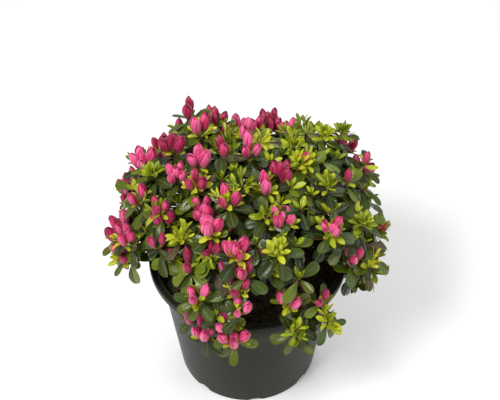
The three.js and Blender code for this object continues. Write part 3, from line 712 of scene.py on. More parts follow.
# How far the corners of its tip hang below the middle.
PETAL_DROOP = 0.05 * PETAL_ROWS[:, None] ** 6 * PETAL_COLUMNS**2
PETAL_QUADS = grid_quads(len(PETAL_ROWS), len(PETAL_COLUMNS))
PETAL_RISE, PETAL_STRIP = np.divmod(PETAL_QUADS[:, 0], len(PETAL_COLUMNS))
# What each face adds to the petal's tone: light and dark streaks of painted highlight and shade on
# its wrinkles, and a darker tip.
PETAL_SHADE = np.array([0, 0, 0, 1, -1, 0, 0, 0])[PETAL_STRIP] - (PETAL_RISE == len(PETAL_ROWS) - 2)
# The fold strip lies just past the next petal's tucked margin and takes a deeper pink with painted
# shade; the margin strip takes a painted highlight.
CREASE_SHADE_STRIP, EDGE_HIGHLIGHT_STRIP = 1, 7
CORE_SIDES, CORE_HEIGHT, CORE_GIRTH = 8, 0.9, 0.86
# Heights and girths of the scales round a bud's foot, from its stalk to their teeth.
BRACT_HEIGHTS, BRACT_GIRTHS, BRACT_STALK_RADIUS = (-1.4, -0.2, 1.8), (0.42, 0.6), 0.6
BRACT_TEETH = (1 + 0.12 * (np.arange(CORE_SIDES) % 2))[:, None]


def bud(mesh, rng, foot, stem, length, radius, tone):
    axis, side, across = stem.heading, stem.side, stem.across
    twist = rng.angle(*PETAL_TWIST)
    start = rng() * 2 * pi
    shape = BUD_SHAPE ** (1.0 + rng.between(*BUD_PLUMPNESS))
    turns = circle(CORE_SIDES)
    ring = np.outer(np.cos(turns), side) + np.outer(np.sin(turns), across)
    core = [foot + axis * length * share * CORE_HEIGHT + ring * radius * part * CORE_GIRTH
            for share, part in zip(PETAL_ROWS[1::2], shape[1::2])]
    # The bud's core takes the fold colour: painted shade where it shows between the petals.
    add_rings(mesh, core, CREASE_SHADE_TONE)
    lean = BUD_LEAN * rng.shake() * radius
    rows = PETAL_ROWS[:, None]
    out = radius * (shape[:, None] * PETAL_GIRTH + PETAL_THICKNESS)
    for k in range(PETALS):
        middle = start + k * 2 * pi / PETALS + PETAL_SHAKE * rng.shake()
        up = rows * rng.between(*PETAL_REACH) - PETAL_DROOP
        turns = middle + twist * rows + PETAL_HALF[:, None] * PETAL_COLUMNS
        points = (foot + (up * length)[..., None] * axis + (lean * rows[..., None] ** 3) * side
                  + (out * np.cos(turns))[..., None] * side
                  + (out * np.sin(turns))[..., None] * across)
        body = np.clip(tone + rng.choose(-1, 1) + PETAL_SHADE, 0, PINK_TONES - 1)
        # Folds take the painted shade and margins the painted highlight; the rest keep their
        # streaked tone.
        slots = np.select([PETAL_STRIP == CREASE_SHADE_STRIP, PETAL_STRIP == EDGE_HIGHLIGHT_STRIP],
                          [CREASE_SHADE_TONE, EDGE_HIGHLIGHT_TONE], body)
        mesh.add(points.reshape(-1, 3), PETAL_QUADS, slots)
    rings = [ring * BRACT_STALK_RADIUS, ring * radius * BRACT_GIRTHS[0],
             ring * radius * BRACT_GIRTHS[1] * BRACT_TEETH]
    add_rings(mesh, [foot + axis * height + bract
                     for height, bract in zip(BRACT_HEIGHTS, rings)], BRACT_TONE)


def bud_cluster(mesh, rng, base, stem, tone):
    """Buds in a ring, with one in its middle when there are more than three."""
    count = BUD_COUNTS[rng.choose(0, len(BUD_COUNTS) - 1)]
    in_ring = count - 1 if count > 3 else count
    size = lerp(*BUD_SIZES, rng() ** BUD_SIZE_POWER) * (LONE_BUD_SIZE if count == 1 else 1.0)
    first = 2 * pi * rng()
    for k in range(count):
        own = size * rng.between(*BUD_OWN_SIZES)
        radius = BUD_RADIUS * own**BUD_GIRTH_POWER * rng.between(*BUD_GIRTHS)
        middle = count == 1 or (count > 3 and k == 0)
        apart = 0.0
        if not middle:
            apart = BUD_RADIUS / sin(pi / in_ring) * rng.between(*BUD_DISTANCES)
        splay = rng.angle(*(MIDDLE_BUD_SPLAY if middle else RING_BUD_SPLAY))
        turn = first + k * 2 * pi / in_ring + BUD_SHAKE * rng.shake()
        axis = stem.splayed(turn, splay)
        foot = base + stem.heading * rng.between(*BUD_FOOT_HEIGHTS) + stem.splayed(turn) * apart
        stalk = [base, lerp(base, foot, 0.6) - stem.heading, foot + axis]
        tube(mesh, stalk, BUD_STALK_RADII, 5, BRACT_TONE)
        local = unit(np.cross(axis, stem.side if abs(axis @ stem.side) < 0.9 else UP))
        bud(mesh, rng, foot, Stem(axis, local), BUD_LENGTH * own, radius, tone)


# Growing.


def near_tone(rng, tone, tones):
    return min(max(tone + rng.choose(-1, 1), 0), tones - 1)


def young_whorl(mesh, rng, base, stem, first, count, rise, splays, length, tone):
    """Young leaves up a stretch of stem, shorter and steeper towards its tip."""
    for i in range(count):
        share = i / max(count - 1, 1)
        turn = first + radians(GOLDEN_ANGLE * i + YOUNG_TURN_SHAKE * rng.shake())
        splay = radians(lerp(*splays, share) + YOUNG_SPLAY_SHAKE * rng.shake())
        foot = base + stem.heading * (rise * share) + stem.splayed(turn) * YOUNG_FOOT
        shade = near_tone(rng, tone, YOUNG_TONES)
        own = length * rng.between(*YOUNG_LENGTHS) * (1.0 - YOUNG_TAPER * share)
        YOUNG.grow(mesh, rng, foot, stem, turn, splay, own, shade)


def mature_whorl(mesh, rng, base, stem, first, spray_tone):
    """The full-grown leaves round a shoot, smaller and steeper towards its tip."""
    count = rng.choose(*MATURE_LEAVES)
    for i in range(count):
        share = i / (count - 1)
        turn = first + radians(GOLDEN_ANGLE * i + WHORL_SHAKE * rng.shake())
        splay = radians(lerp(*WHORL_SPLAYS, share) + WHORL_SHAKE * rng.shake())
        length = MATURE_LENGTH * rng.between(*MATURE_LENGTHS) * (1.0 - WHORL_TAPER * share)
        tone = near_tone(rng, spray_tone, MATURE_TONES)
        if rng() < OLD_SHARE:
            tone = OLD_TONE
        foot = base + stem.heading * lerp(*WHORL_HEIGHTS, share) + stem.splayed(turn) * MATURE_FOOT
        MATURE.grow(mesh, rng, foot, stem, turn, splay, length, tone)


def young_sprigs(mesh, rng, base, stem, count, splays, tone):
    """Short leafy sprigs that stand round a fresh shoot's tip."""
    begin = 2 * pi * rng()
    for k in range(count):
        turn = begin + 2 * pi * (k + SPRIG_SHAKE * rng.shake()) / count
        sprig = Stem(stem.splayed(turn, rng.angle(*splays)))
        reach = rng.between(*SPRIG_LENGTH)
        foot, line = base + stem.heading, sprig.heading * reach
        tube(mesh, [foot, foot + line * 0.5, foot + line], SPRIG_RADII, 5, YOUNG_RIB)
        young_whorl(mesh, rng, foot + line * SPRIG_BARE, sprig, 2 * pi * rng(),
                    rng.choose(*SPRIG_LEAVES), reach * (1 - SPRIG_BARE), SPRIG_LEAF_SPLAYS,
                    YOUNG_LENGTH * SPRIG_LEAF_SIZE, tone)


def grow_shoot(meshes, shoot, budding, fresh_share, rng):
    """Leaves round a shoot, a ring of young ones at its tip, and its sprigs and buds."""
    base, stem = shoot.base, Stem(shoot.heading)
    upright = Stem(unit(shoot.heading + TIP_UPTURN * UP), stem.side)
    first = 2 * pi * rng()
    spray_tone = rng.choose(0, MATURE_TONES - 1)
    fresh_tone = rng.choose(0, YOUNG_TONES - 1)
    mature_whorl(meshes["leaves"], rng, base, stem, first, spray_tone)
    fresh = rng() < fresh_share
    more, splays, size = OPEN_RING if fresh or budding else CLOSED_RING
    young_whorl(meshes["young"], rng, base, upright, first + 1.0,
                rng.choose(*YOUNG_LEAVES) + more, RING_RISE, splays, YOUNG_LENGTH * size,
                fresh_tone if fresh else min(fresh_tone, DULL_TONE))
    young_sprigs(meshes["young"], rng, base, upright,
                 rng.choose(*YOUNG_SPRIGS) if fresh else 0,
                 SPRIG_SPLAY_ROUND_BUDS if budding else SPRIG_SPLAY, fresh_tone)
    if budding:
        bud_cluster(meshes["buds"], rng, base, upright, rng.choose(0, PINK_TONES - 1))


def inner_leaves(mesh, rng, path, length):
    """Older leaves along the outer part of a twig."""
    count = int(INNER_LENGTH * length / INNER_SPACING)
    turn = 2 * pi * rng()
    for i in range(count):
        at = (INNER_FROM + INNER_SPAN * (i + 0.5) / count) * (len(path) - 1)
        low = int(at)
        foot = lerp(path[low], path[low + 1], at - low)
        stem = Stem(unit(path[low + 1] - path[max(low - 1, 0)]))
        turn += radians(GOLDEN_ANGLE)
        splay = rng.angle(*INNER_SPLAYS)
        # Their darker tones are partly painted shade inside the crown.
        tone = rng.choose(*INNER_OLD_AND_SHADED_TONES) if rng() > INNER_OLD_SHARE else OLD_TONE
        MATURE.grow(mesh, rng, foot, stem, turn, splay,
                    MATURE_LENGTH * rng.between(*INNER_LENGTHS), tone, wilt=INNER_WILT)


def add_twig(wood, curve, shoot, root, sides):
    """A twig's tapering tube along its curve and up the stalk of its shoot."""
    path = [*curve, *(shoot.base + shoot.heading * height for height in STALK_HEIGHTS)]
    tube(wood, path, np.linspace(root, TWIG_TIP_RADIUS, len(path)), sides, 0)


def grow_twig(meshes, wood, twig, bud_share):
    """A twig of the rule with its leaves, and its shoot; the curve is kept for side shoots."""
    shoot = twig.shoot
    rng = rng_for(shoot.index)
    for _ in range(1 + WHORL_DRAWS):
        rng()
    budding = rng() < bud_share
    span = norm(shoot.base - twig.start)
    bend = shoot.base - shoot.heading * TWIG_BEND * span
    count = max(TWIG_FEWEST_POINTS, int(span / TWIG_STEP))
    twig.path = bezier(twig.start, bend, shoot.base, count)
    add_twig(wood, twig.path, shoot, twig.root, 7)
    inner_leaves(meshes["leaves"], rng, twig.path, span)
    grow_shoot(meshes, shoot, budding, FRESH_SHARE, rng)


def grow_side_shoot(meshes, wood, parent, shoot, bud_share):
    rng = rng_for(shoot.index)
    span = norm(parent.shoot.base - parent.start)
    share = min(max(1.0 - rng.between(*SIDE_FORK_BACK) / span, SIDE_FORK_AT[0]),
                SIDE_FORK_AT[1])
    start = parent.path[int(share * (len(parent.path) - 1))]
    reach = norm(shoot.base - start)
    bend = shoot.base - shoot.heading * SIDE_TWIG_BEND * reach
    curve = bezier(start, bend, shoot.base, SIDE_TWIG_POINTS)
    add_twig(wood, curve, shoot, SIDE_TWIG_RADIUS, 6)
    budding = rng() < SIDE_BUDDING * bud_share
    grow_shoot(meshes, shoot, budding, FRESH_SIDE_SHARE, rng)


def grow_crown(groups, wood):
    shoots = crown_shoots()
    for mass in range(len(MASSES)):
        meshes = groups[sum(mass >= end for end in GROUP_ENDS)]
        bud_share = MASSES[mass][5]
        twigs = grow_twigs(mass, [shoot for shoot in shoots if shoot.mass == mass])
        for twig in twigs:
            grow_twig(meshes, wood, twig, bud_share)
        for parent, shoot in side_shoots(twigs):
            grow_side_shoot(meshes, wood, parent, shoot, bud_share)


# Noise for soil and bark.


def value_noise(points, scale, seed):
    """Smooth noise from -1 to 1 at points of any number of dimensions, from a hashed lattice."""
    p = np.asarray(points, float) / scale
    cell = np.floor(p).astype(np.int64)
    part = p - cell
    part = part * part * (3 - 2 * part)
    total = np.zeros(len(p))
    dims = p.shape[1]
    for corner in range(2**dims):
        offset = np.array([(corner >> d) & 1 for d in range(dims)])
        at = cell + offset
        key = np.full(len(p), seed * 7919 + 17, dtype=np.int64)
        for d in range(dims):
            key = (key * 1103515245 + at[:, d] * (12820163 + 7368787 * d) + 12345) & 0x7FFFFFFF
            key ^= key >> 13
        value = ((key * 48271) & 0x7FFFFFFF) / 0x3FFFFFFF - 1.0
        weight = np.prod(np.where(offset == 1, part, 1 - part), axis=1)
        total += value * weight
    return total


def with_noise(value, points, layers):
    """A value with layers of noise added, each given by its height, width and seed."""
    for height, width, seed in layers:
        value = value + height * value_noise(points, width, seed)
    return value


# Materials.


class Look:
    """A material, with short ways to feed its shader."""

    def __init__(self, name, color, roughness, specular):
        self.material = bpy.data.materials.new(name)
        self.material.use_nodes = True
        self.tree = self.material.node_tree
        self.shader = self.tree.nodes["Principled BSDF"]
        self.feed(self.shader, {"Base Color": (*color, 1), "Roughness": roughness,
                                "Specular IOR Level": specular})

    def feed(self, node, inputs):
        """Sets each input to a value, or links it to the output that is given for it."""
        for name, source in inputs.items():
            if isinstance(source, bpy.types.NodeSocket):
                self.tree.links.new(source, node.inputs[name])
            else:
                node.inputs[name].default_value = source
        return node

    def node(self, kind, inputs):
        return self.feed(self.tree.nodes.new(f"ShaderNode{kind}"), inputs)

    def math(self, operation, *terms):
        made = self.node("Math", {})
        made.operation = operation
        return self.feed(made, dict(enumerate(terms))).outputs[0]

    def noise(self, scale, detail, roughness=0.55, vector=None):
        if vector is None:
            vector = self.node("TexCoord", {}).outputs["Object"]
        return self.node("TexNoise", {"Scale": scale, "Detail": detail, "Roughness": roughness,
                                      "Vector": vector}).outputs["Fac"]

    def bump(self, height, strength, distance):
        made = self.node("Bump", {"Strength": strength, "Distance": distance, "Height": height})
        self.feed(self.shader, {"Normal": made.outputs["Normal"]})

    def vary_roughness(self, source, low, high):
        made = self.node("MapRange", {"To Min": low, "To Max": high, "Value": source})
        self.feed(self.shader, {"Roughness": made.outputs["Result"]})

    def vary_color(self, source, dark, light, span=(0.0, 1.0)):
        made = self.node("ValToRGB", {"Fac": source})
        for element, color, at in zip(made.color_ramp.elements, (dark, light), span):
            element.position, element.color = at, (*color, 1)
        self.feed(self.shader, {"Base Color": made.outputs["Color"]})


def srgb(r, g, b):
    def linear(c):
        c /= 255.0
        return c / 12.92 if c <= 0.04045 else ((c + 0.055) / 1.055) ** 2.4
    return (linear(r), linear(g), linear(b))


# The depths of relief, in metres.
FINE_RELIEF, POT_RELIEF, BARK_RELIEF, SOIL_RELIEF = 0.0004, 0.0005, 0.0008, 0.0015
# How far a leaf's roughness varies below and above its own.
GLOSS_SPAN = (-0.08, 0.12)
VEIN_SLANT = -0.5
VEIN_WAVES = 50.0
VEIN_SHARE = 0.35


def leaf_material(name, color, roughness, vein_strength):
    look = Look(name, srgb(*color), roughness, 0.36)
    # Veins run from the midrib to the margin, with fine wrinkles between them.
    where = look.node("UVMap", {})
    where.uv_map = LEAF_UV_LAYER
    parts = look.node("SeparateXYZ", {"Vector": where.outputs["UV"]})
    aside = look.math("ABSOLUTE", look.math("SUBTRACT", parts.outputs["X"], 0.5))
    slant = look.math("MULTIPLY_ADD", aside, VEIN_SLANT, parts.outputs["Y"])
    wave = look.math("SINE", look.math("MULTIPLY", slant, VEIN_WAVES))
    veins = look.math("MULTIPLY_ADD", wave, VEIN_SHARE, look.noise(900.0, 3.0))
    look.bump(veins, vein_strength, FINE_RELIEF)
    look.vary_roughness(look.noise(120.0, 2.0), *(roughness + part for part in GLOSS_SPAN))
    return look.material


def leaf_materials():
    """The materials of the mature leaves and of the young ones, in the order of their slots."""
    mature = [leaf_material(f"mature_leaf_{i + 1}", color, 0.25, 0.3)
              for i, color in enumerate(MATURE_COLORS)]
    mature.append(leaf_material("mature_rib", (82, 96, 46), 0.4, 0.1))
    mature.append(leaf_material("old_leaf", (68, 56, 28), 0.5, 0.4))
    young = [leaf_material(f"young_leaf_{i + 1}", color, 0.4, 0.2)
             for i, color in enumerate(YOUNG_COLORS)]
    young.append(leaf_material("young_rib", (196, 208, 110), 0.45, 0.1))
    return mature, young


def petal_material(name, color):
    look = Look(name, srgb(*color), 0.42, 0.4)
    look.feed(look.shader, {"Sheen Weight": 0.12, "Sheen Roughness": 0.4})
    look.bump(look.noise(700.0, 4.0), 0.25, FINE_RELIEF)
    return look.material


def bud_materials():
    made = [petal_material(f"petal_{i + 1}", color) for i, color in enumerate(PINK_COLORS)]
    # A deeper pink with painted shade, for the folds and the core.
    made.append(petal_material("petal_crease_shade", (130, 16, 58)))
    # A lighter pink as a painted highlight along the petals' margins.
    made.append(petal_material("petal_margin_highlight", (212, 98, 140)))
    made.append(petal_material("bud_scale", (150, 120, 60)))
    return made


def bark_material(name, color, dark, scale):
    look = Look(name, srgb(*color), 0.82, 0.25)
    grain = look.noise(scale, 6.0, 0.65)
    look.vary_color(grain, srgb(*dark), srgb(*color), (0.32, 0.68))
    look.bump(grain, 0.6, BARK_RELIEF)
    return look.material


def twig_material():
    look = Look("twig_bark", srgb(128, 78, 52), 0.7, 0.3)
    look.bump(look.noise(900.0, 5.0), 0.5, FINE_RELIEF)
    return look.material


def plastic_material():
    look = Look("pot_plastic", srgb(32, 32, 30), 0.42, 0.1)
    # Faint moulding rings, a fine grain and scuffs that change the gloss.
    where = look.node("TexCoord", {})
    stretch = look.node("Mapping", {"Scale": (3.0, 3.0, 260.0), "Vector": where.outputs["Object"]})
    rings = look.noise(1.0, 3.0, 0.5, stretch.outputs["Vector"])
    relief = look.math("MULTIPLY_ADD", look.noise(2600.0, 2.0), 0.22, rings)
    look.bump(relief, 0.16, POT_RELIEF)
    scuffs = look.noise(55.0, 6.0, 0.7)
    look.vary_roughness(scuffs, 0.3, 0.46)
    look.vary_color(scuffs, srgb(29, 30, 22), srgb(38, 39, 29))
    return look.material


def soil_material():
    look = Look("soil", srgb(38, 30, 25), 0.95, 0.2)
    fine = look.noise(420.0, 8.0, 0.72)
    look.vary_color(fine, srgb(34, 31, 22), srgb(104, 88, 66), (0.36, 0.72))
    look.bump(fine, 0.9, SOIL_RELIEF)
    return look.material


# Pot and soil.

POT_SIDES = 192
POT_SHARP_ANGLE = 32
RIM_ROUND = 1.2
MOUTH_ROUND = 1.0
LIP_EDGE = 0.4
FINE_EDGE = 0.3
RIM_CREST = 0.1
RIM_GROOVE = 0.6
NOTCH_BELOW_FLOOR = 3.0


def pot_profile():
    """Radius and height round the pot's section, from the underside's middle to the floor's."""
    top, foot, rim, base = POT_HEIGHT, POT_BASE_ROUND, POT_RIM_RADIUS, POT_BASE_RADIUS
    lip_inside, lip_top, lip_foot = rim - POT_WALL, top - POT_WALL, top - LIP_DEPTH
    neck, neck_height, collar = POT_COLLAR_FOOT_RADIUS, POT_COLLAR_FOOT, POT_COLLAR_RADIUS
    mouth = collar - POT_WALL
    return [
        # The underside, the round at its edge, the tapering wall and the step.
        (0.0, 0.0), (30.0, 0.0), (60.0, 0.0),
        *[(base - foot + foot * sin(a), foot - foot * cos(a))
          for a in np.radians([0, 22, 45, 68, 88])],
        *[(lerp(base, POT_STEP_RADIUS, s), lerp(foot, POT_STEP, s))
          for s in (0.25, 0.5, 0.75, 0.985)],
        (POT_STEP_RADIUS + FINE_EDGE, POT_STEP),
        # The collar, and the lip that hangs round it.
        (neck - 0.5, neck_height - 0.6), (neck, neck_height),
        *[(lerp(neck, collar, s), lerp(neck_height, lip_top, s)) for s in (0.3, 0.6)],
        (collar, lip_top), (lip_inside - FINE_EDGE, lip_top), (lip_inside, lip_top - FINE_EDGE),
        (lip_inside, lip_foot + FINE_EDGE), (lip_inside + LIP_EDGE, lip_foot),
        (rim - LIP_EDGE, lip_foot), (rim, lip_foot + LIP_EDGE), (rim, top - 1.4),
        # The rim's top, with a shallow groove round it between two rounded edges.
        *[(rim - RIM_ROUND + RIM_ROUND * cos(a), top - RIM_ROUND + RIM_ROUND * sin(a))
          for a in np.radians([12, 40, 68, 90])],
        (rim - 3.0, top - RIM_CREST), (rim - 3.5, top - RIM_GROOVE),
        (mouth + 1.8, top - RIM_GROOVE), (mouth + 1.3, top - RIM_CREST),
        *[(mouth + MOUTH_ROUND - MOUTH_ROUND * sin(a),
           top - MOUTH_ROUND + MOUTH_ROUND * cos(a)) for a in np.radians([0, 30, 60, 90])],
        # The inside and the floor.
        (neck - POT_WALL, neck_height), (inside_radius(POT_STEP), POT_STEP),
        (inside_radius(60.0), 60.0), (inside_radius(POT_FLOOR) - 0.2, POT_FLOOR + 0.2),
        (40.0, POT_FLOOR), (0.0, POT_FLOOR),
    ]


def level_ring(radius, sides, height):
    """Points round the pot's axis, at a height or at the heights that a function gives."""
    x, y = radius * np.sin(circle(sides)), -radius * np.cos(circle(sides))
    return np.stack([x, y, height(x, y) if callable(height) else np.full(sides, height)], -1)


def closed_object(parts, name, materials):
    """An object of closed meshes, each given by its rings of corners in turn."""
    mesh = Mesh()
    for rings in parts:
        add_rings(mesh, rings, 0)
    made = mesh.object(name, materials)
    edit_mesh(made.data, turn_outwards)
    return made


def notch_cutters():
    """Arched blocks through the foot of the pot's wall."""
    half = NOTCH_WIDTH / 2
    arch = [(-half, -NOTCH_BELOW_FLOOR), (half, -NOTCH_BELOW_FLOOR)]
    arch += [(half * cos(a), NOTCH_HEIGHT * sin(a))
             for a in np.radians(np.linspace(3, 177, 15))]
    arch = np.array(arch)
    cutters = []
    for i in range(NOTCH_COUNT):
        out = direction_at(NOTCH_FIRST_AZIMUTH + i * 360 / NOTCH_COUNT, 0)
        side = np.cross(UP, out)
        ends = [out * distance + np.outer(arch[:, 0], side) + np.outer(arch[:, 1], UP)
                for distance in (POT_BASE_RADIUS - NOTCH_DEPTH, POT_BASE_RADIUS + NOTCH_DEPTH)]
        middles = [np.repeat(end.mean(0)[None, :], len(end), 0) for end in ends]
        cutters.append([middles[0], *ends, middles[1]])
    return closed_object(cutters, "notch_cutters", [])


def make_pot():
    rings = [level_ring(radius, POT_SIDES, height) for radius, height in pot_profile()]
    pot = closed_object([rings], "pot_shell", [plastic_material()])
    cutters = notch_cutters()
    cut = pot.modifiers.new("notches", "BOOLEAN")
    cut.operation = "DIFFERENCE"
    cut.solver = "EXACT"
    cut.object = cutters
    evaluated = pot.evaluated_get(bpy.context.evaluated_depsgraph_get())
    shaped = bpy.data.meshes.new_from_object(evaluated)
    edit_mesh(shaped, split_large_faces)
    pot.modifiers.clear()
    pot.data = shaped
    shaped.polygons.foreach_set("use_smooth", np.full(len(shaped.polygons), True))
    shaped.set_sharp_from_angle(angle=radians(POT_SHARP_ANGLE))
    bpy.data.objects.remove(cutters)
    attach(pot, "root")
    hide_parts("pot")


SOIL_RINGS = 60
SOIL_SIDES = 220
SOIL_SINK = 0.4
SOIL_SWELL_RADIUS = 84.0
SOIL_LUMPS = [(1.5, 15.0, 3), (1.1, 6.0, 5), (0.7, 2.6, 7)]
# Toward this radius the lumps sink to a share of their height, over this width.
SOIL_CALM_RADIUS = 86.5
SOIL_CALM_WIDTH = 6.0
SOIL_CALM_SHARE = 0.15


def soil_height(x, y):
    radius = np.hypot(x, y)
    swell = SOIL_EDGE + SOIL_SWELL * np.clip(1 - radius / SOIL_SWELL_RADIUS, 0, 1)
    lumps = with_noise(0, np.stack([x, y], -1), SOIL_LUMPS)
    calm = np.clip((SOIL_CALM_RADIUS - radius) / SOIL_CALM_WIDTH, SOIL_CALM_SHARE, 1)
    return swell - SOIL_SINK + lumps * calm


def make_soil():
    edge, bottom = POT_COLLAR_FOOT_RADIUS - POT_WALL - CLEARANCE, POT_FLOOR + CLEARANCE
    rings = [level_ring(radius, SOIL_SIDES, soil_height)
             for radius in np.linspace(0.0, edge, SOIL_RINGS)]
    rings += [level_ring(radius, SOIL_SIDES, height) for radius, height in (
        (edge, POT_COLLAR_FOOT + CLEARANCE), (inside_radius(POT_STEP) - CLEARANCE, POT_STEP),
        (inside_radius(bottom) - CLEARANCE, bottom), (0.0, bottom))]
    soil = closed_object([rings], "soil_bed", [soil_material()])
    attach(soil, "root")
    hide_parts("soil")


LITTER_SEED = 707
# The slots of the litter's mesh.
FIBRE, ROOT, GRAIN, CRUMB = range(4)
FIBRE_COUNT = 420
FIBRE_SPREAD = 84
FIBRE_LENGTH = (3, 11)
FIBRE_BOW = (-2, 2)
FIBRE_BOW_SIZE = 0.4
FIBRE_THICKNESS = (0.14, 0.42)
FIBRE_TAPER = np.array([0.6, 1, 1, 1, 0.5])
FIBRE_REACH = 85.0
FIBRE_SHARE = 0.7
CRUMB_COUNT = 620
CRUMB_SPREAD = 85
GRAIN_COUNT = 26
GRAIN_SIZE = (0.5, 1.0)
CRUMB_SIZE = (0.5, 2.0)
CRUMB_SQUASH = (0.7, 1.2)
CRUMB_REACH = 85.3
CRUMB_LIFT = 0.35
CRUMB_TWIST = 0.3
CRUMB_WOBBLE = 0.18
CRUMB_SIDES = 7
CRUMB_POLARS = np.radians([8, 50, 90, 130, 172])


def litter_place(rng, reach):
    radius, turn = reach * sqrt(rng()), 2 * pi * rng()
    return radius, radius * sin(turn), -radius * cos(turn)


def add_fibre(mesh, rng):
    _, x, y = litter_place(rng, FIBRE_SPREAD)
    facing = 2 * pi * rng()
    length = rng.between(*FIBRE_LENGTH)
    shares = np.linspace(-0.5, 0.5, len(FIBRE_TAPER))
    bow = rng.between(*FIBRE_BOW) * shares**2 * 4
    px = x + shares * length * cos(facing) - bow * sin(facing) * FIBRE_BOW_SIZE
    py = y + shares * length * sin(facing) + bow * cos(facing) * FIBRE_BOW_SIZE
    if np.hypot(px, py).max() >= FIBRE_REACH:
        return
    pz = soil_height(px, py) + 0.25 + 0.5 * rng()
    radii = rng.between(*FIBRE_THICKNESS) * FIBRE_TAPER
    slot = FIBRE if rng() < FIBRE_SHARE else ROOT
    tube(mesh, np.stack([px, py, pz], -1), radii, 5, slot)


def add_crumb(mesh, rng, pale):
    radius, x, y = litter_place(rng, CRUMB_SPREAD)
    size = rng.between(*(GRAIN_SIZE if pale else CRUMB_SIZE))
    if radius + size > CRUMB_REACH:
        return
    z = soil_height(np.array([x]), np.array([y]))[0] + size * CRUMB_LIFT
    squash = [size * rng.between(*CRUMB_SQUASH) for _ in range(3)]
    rings = []
    for polar in CRUMB_POLARS:
        turns = circle(CRUMB_SIDES) + CRUMB_TWIST * rng()
        wobble = 1 + CRUMB_WOBBLE * np.array([rng.shake() for _ in circle(CRUMB_SIDES)])
        rings.append(np.stack([
            x + squash[0] * np.cos(turns) * sin(polar) * wobble,
            y + squash[1] * np.sin(turns) * sin(polar) * wobble,
            np.full(CRUMB_SIDES, z + squash[2] * cos(polar)),
        ], -1))
    add_rings(mesh, rings, GRAIN if pale else CRUMB)


def make_litter():
    """Fibres, crumbs and a few pale grains that lie on the soil."""
    rng = SeededRandom(LITTER_SEED)
    mesh = Mesh()
    for _ in range(FIBRE_COUNT):
        add_fibre(mesh, rng)
    for i in range(CRUMB_COUNT):
        add_crumb(mesh, rng, pale=i < GRAIN_COUNT)
    litter = mesh.object("soil_litter", [
        bark_material("soil_fibre", (86, 60, 42), (42, 30, 22), 500.0),
        bark_material("soil_root", (128, 98, 68), (80, 58, 40), 500.0),
        bark_material("soil_grain", (214, 210, 200), (168, 164, 152), 800.0),
        bark_material("soil_crumb", (48, 36, 29), (20, 15, 12), 600.0),
    ])
    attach(litter, "root")


# Trunk, boughs and plant.

TRUNK_SIDES = 48
TRUNK_GRAIN_RADIUS = 6.5
TRUNK_GRAIN_RISE = 0.35
TRUNK_GRAIN = [(0.05, 2.2, 11), (0.03, 1.0, 13)]
BOUGH_SIDES = 14
BOUGH_POINTS = 26
BOUGH_GRAIN_RADIUS = 2
BOUGH_GRAIN_RISE = 0.8
BOUGH_GRAIN_SEED = 20
STEM_SIDES = 10
STEM_POINTS = 9


def skin_sites(turns, radius, height):
    """Where the noise of a limb's skin is read, round a cylinder."""
    return np.stack([np.cos(turns) * radius, np.sin(turns) * radius,
                     np.full(len(turns), height)], -1)


def make_trunk(bark):
    heights = np.concatenate([
        [CLEARANCE], np.linspace(1.5, TRUNK_FLARE_HEIGHT, 10),
        np.linspace(13, TRUNK_HEIGHT - 2, 18), [TRUNK_HEIGHT - 0.6, TRUNK_HEIGHT],
    ])
    flares = np.maximum(0.0, 1 - heights / TRUNK_FLARE_HEIGHT)
    tapers = lerp(TRUNK_WAIST_RADIUS, TRUNK_HEAD_RADIUS, heights / TRUNK_HEIGHT)
    radii = tapers + (TRUNK_FOOT_RADIUS - TRUNK_WAIST_RADIUS) * flares**2
    radii[-2:] *= (0.86, 0.5)

    def relief(i, turns):
        roots = TRUNK_ROOT_RELIEF * flares[i] * np.cos(TRUNK_ROOTS * turns)
        sites = skin_sites(turns, TRUNK_GRAIN_RADIUS, heights[i] * TRUNK_GRAIN_RISE)
        return with_noise(1 + roots, sites, TRUNK_GRAIN)

    mesh = Mesh()
    tube(mesh, [trunk_middle(height) for height in heights], radii, TRUNK_SIDES, 0, relief)
    trunk = mesh.object("trunk_bark", [bark])
    edit_mesh(trunk.data, turn_outwards)
    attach(trunk, "root")
    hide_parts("trunk")


def make_boughs(bark):
    mesh = Mesh()
    radii = np.linspace(BOUGH_ROOT_RADIUS, BOUGH_TIP_RADIUS, BOUGH_POINTS)
    for mass in range(len(MASSES)):
        grain = [(0.08, 1.3, BOUGH_GRAIN_SEED + mass)]

        def relief(i, turns, grain=grain):
            sites = skin_sites(turns, BOUGH_GRAIN_RADIUS, i * BOUGH_GRAIN_RISE)
            return with_noise(1, sites, grain)

        tube(mesh, bezier(*bough_points(mass), BOUGH_POINTS), radii, BOUGH_SIDES, 0, relief)
    boughs = mesh.object("boughs_bark", [bark])
    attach(boughs, "root")
    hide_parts(*[f"bough_{mass[0]}" for mass in MASSES])


def make_limbs():
    bark = bark_material("bark", (112, 76, 54), (58, 40, 30), 260.0)
    make_trunk(bark)
    make_boughs(bark)


def add_stems(wood):
    """The stem from each bough's tip to the middle of its mass, where its twigs start."""
    radii = np.linspace(BOUGH_TIP_RADIUS, LEADER_RADIUS, STEM_POINTS)
    for mass, centre in enumerate(CENTRES):
        _, bend, end = bough_points(mass)
        middle = end + unit(end - bend) * norm(centre - end) / 3
        tube(wood, bezier(end, middle, centre, STEM_POINTS), radii, STEM_SIDES, 0)


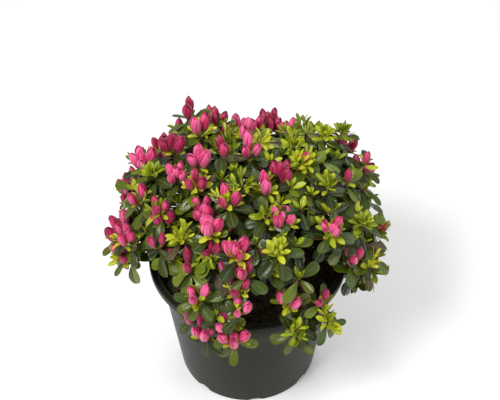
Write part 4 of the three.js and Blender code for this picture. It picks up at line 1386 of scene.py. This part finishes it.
def make_plant():
    wood = Mesh()
    groups = [{kind: Mesh() for kind in ("leaves", "young", "buds")} for _ in GROUP_ENDS]
    grow_crown(groups, wood)
    add_stems(wood)
    twigs = wood.object("twigs", [twig_material()])
    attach(twigs, "root")
    (mature, young), pink = leaf_materials(), bud_materials()
    names = [f"foliage_{mass[0]}" for mass in MASSES]
    start = 0
    for i, end in enumerate(GROUP_ENDS):
        leaves = groups[i]["leaves"].object(f"leaves_{i + 1}", mature)
        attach(leaves, "root")
        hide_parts(*names[start:end])
        fresh = groups[i]["young"].object(f"young_leaves_{i + 1}", young)
        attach(fresh, "root")
        buds = groups[i]["buds"].object(f"buds_{i + 1}", pink)
        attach(buds, "root")
        start = end


# Floor, light and camera.

FLOOR_HALF = 4.0
FLOOR_DROP = 0.0002
WORLD_STRENGTH = 0.52
LIGHT_AIM = Vector((0, 0, 0.16))
# Name, place, size and power of each lamp.
LAMPS = [
    ("key", (-0.55, -0.6, 1.25), 0.4, 16.0),
    ("fill", (0.9, -0.4, 0.9), 0.6, 4.0),
    ("back", (0.1, 0.9, 1.1), 0.6, 5.0),
]
CAMERA_AIM = np.array([2.1, 0.0, 214.3])
CAMERA_DISTANCE = 850.0
CAMERA_ELEVATION = 43.8
CAMERA_CLIP = (0.05, 10.0)
FOCAL_PIXELS = 934.0
IMAGE_WIDTH = 500.0
SENSOR_WIDTH = 36.0


def look_at(made, target):
    direction = (made.location - target).normalized()
    made.rotation_euler = direction.to_track_quat("Z", "Y").to_euler()


def make_floor():
    mesh = bpy.data.meshes.new("floor")
    corners = [(x * FLOOR_HALF, y * FLOOR_HALF, 0)
               for x, y in ((-1, -1), (1, -1), (1, 1), (-1, 1))]
    mesh.from_pydata(corners, [], [(0, 1, 2, 3)])
    mesh.materials.append(Look("floor_paper", (0.9, 0.9, 0.9), 0.9, 0.1).material)
    floor = new_object("floor", mesh)
    floor.location.z = -FLOOR_DROP


def make_light():
    world = bpy.data.worlds.new("studio")
    bpy.context.scene.world = world
    world.use_nodes = True
    sky = world.node_tree.nodes["Background"]
    sky.inputs["Color"].default_value = (1, 1, 1, 1)
    sky.inputs["Strength"].default_value = WORLD_STRENGTH
    for name, place, size, power in LAMPS:
        data = bpy.data.lights.new(name, "AREA")
        data.size = size
        data.energy = power
        lamp = new_object(name, data)
        lamp.location = place
        look_at(lamp, LIGHT_AIM)


def make_camera():
    data = bpy.data.cameras.new("camera")
    data.sensor_width = SENSOR_WIDTH
    data.lens = FOCAL_PIXELS / IMAGE_WIDTH * SENSOR_WIDTH
    data.clip_start, data.clip_end = CAMERA_CLIP
    camera = new_object("camera", data)
    aim = Vector(CAMERA_AIM * METRES)
    e = radians(CAMERA_ELEVATION)
    camera.location = aim + Vector((0, -cos(e), sin(e))) * CAMERA_DISTANCE * METRES
    look_at(camera, aim)
    bpy.context.scene.camera = camera
    bpy.context.scene.view_settings.view_transform = "Standard"


make_floor()
make_light()
make_camera()
make_pot()
make_soil()
make_litter()
make_limbs()
make_plant()
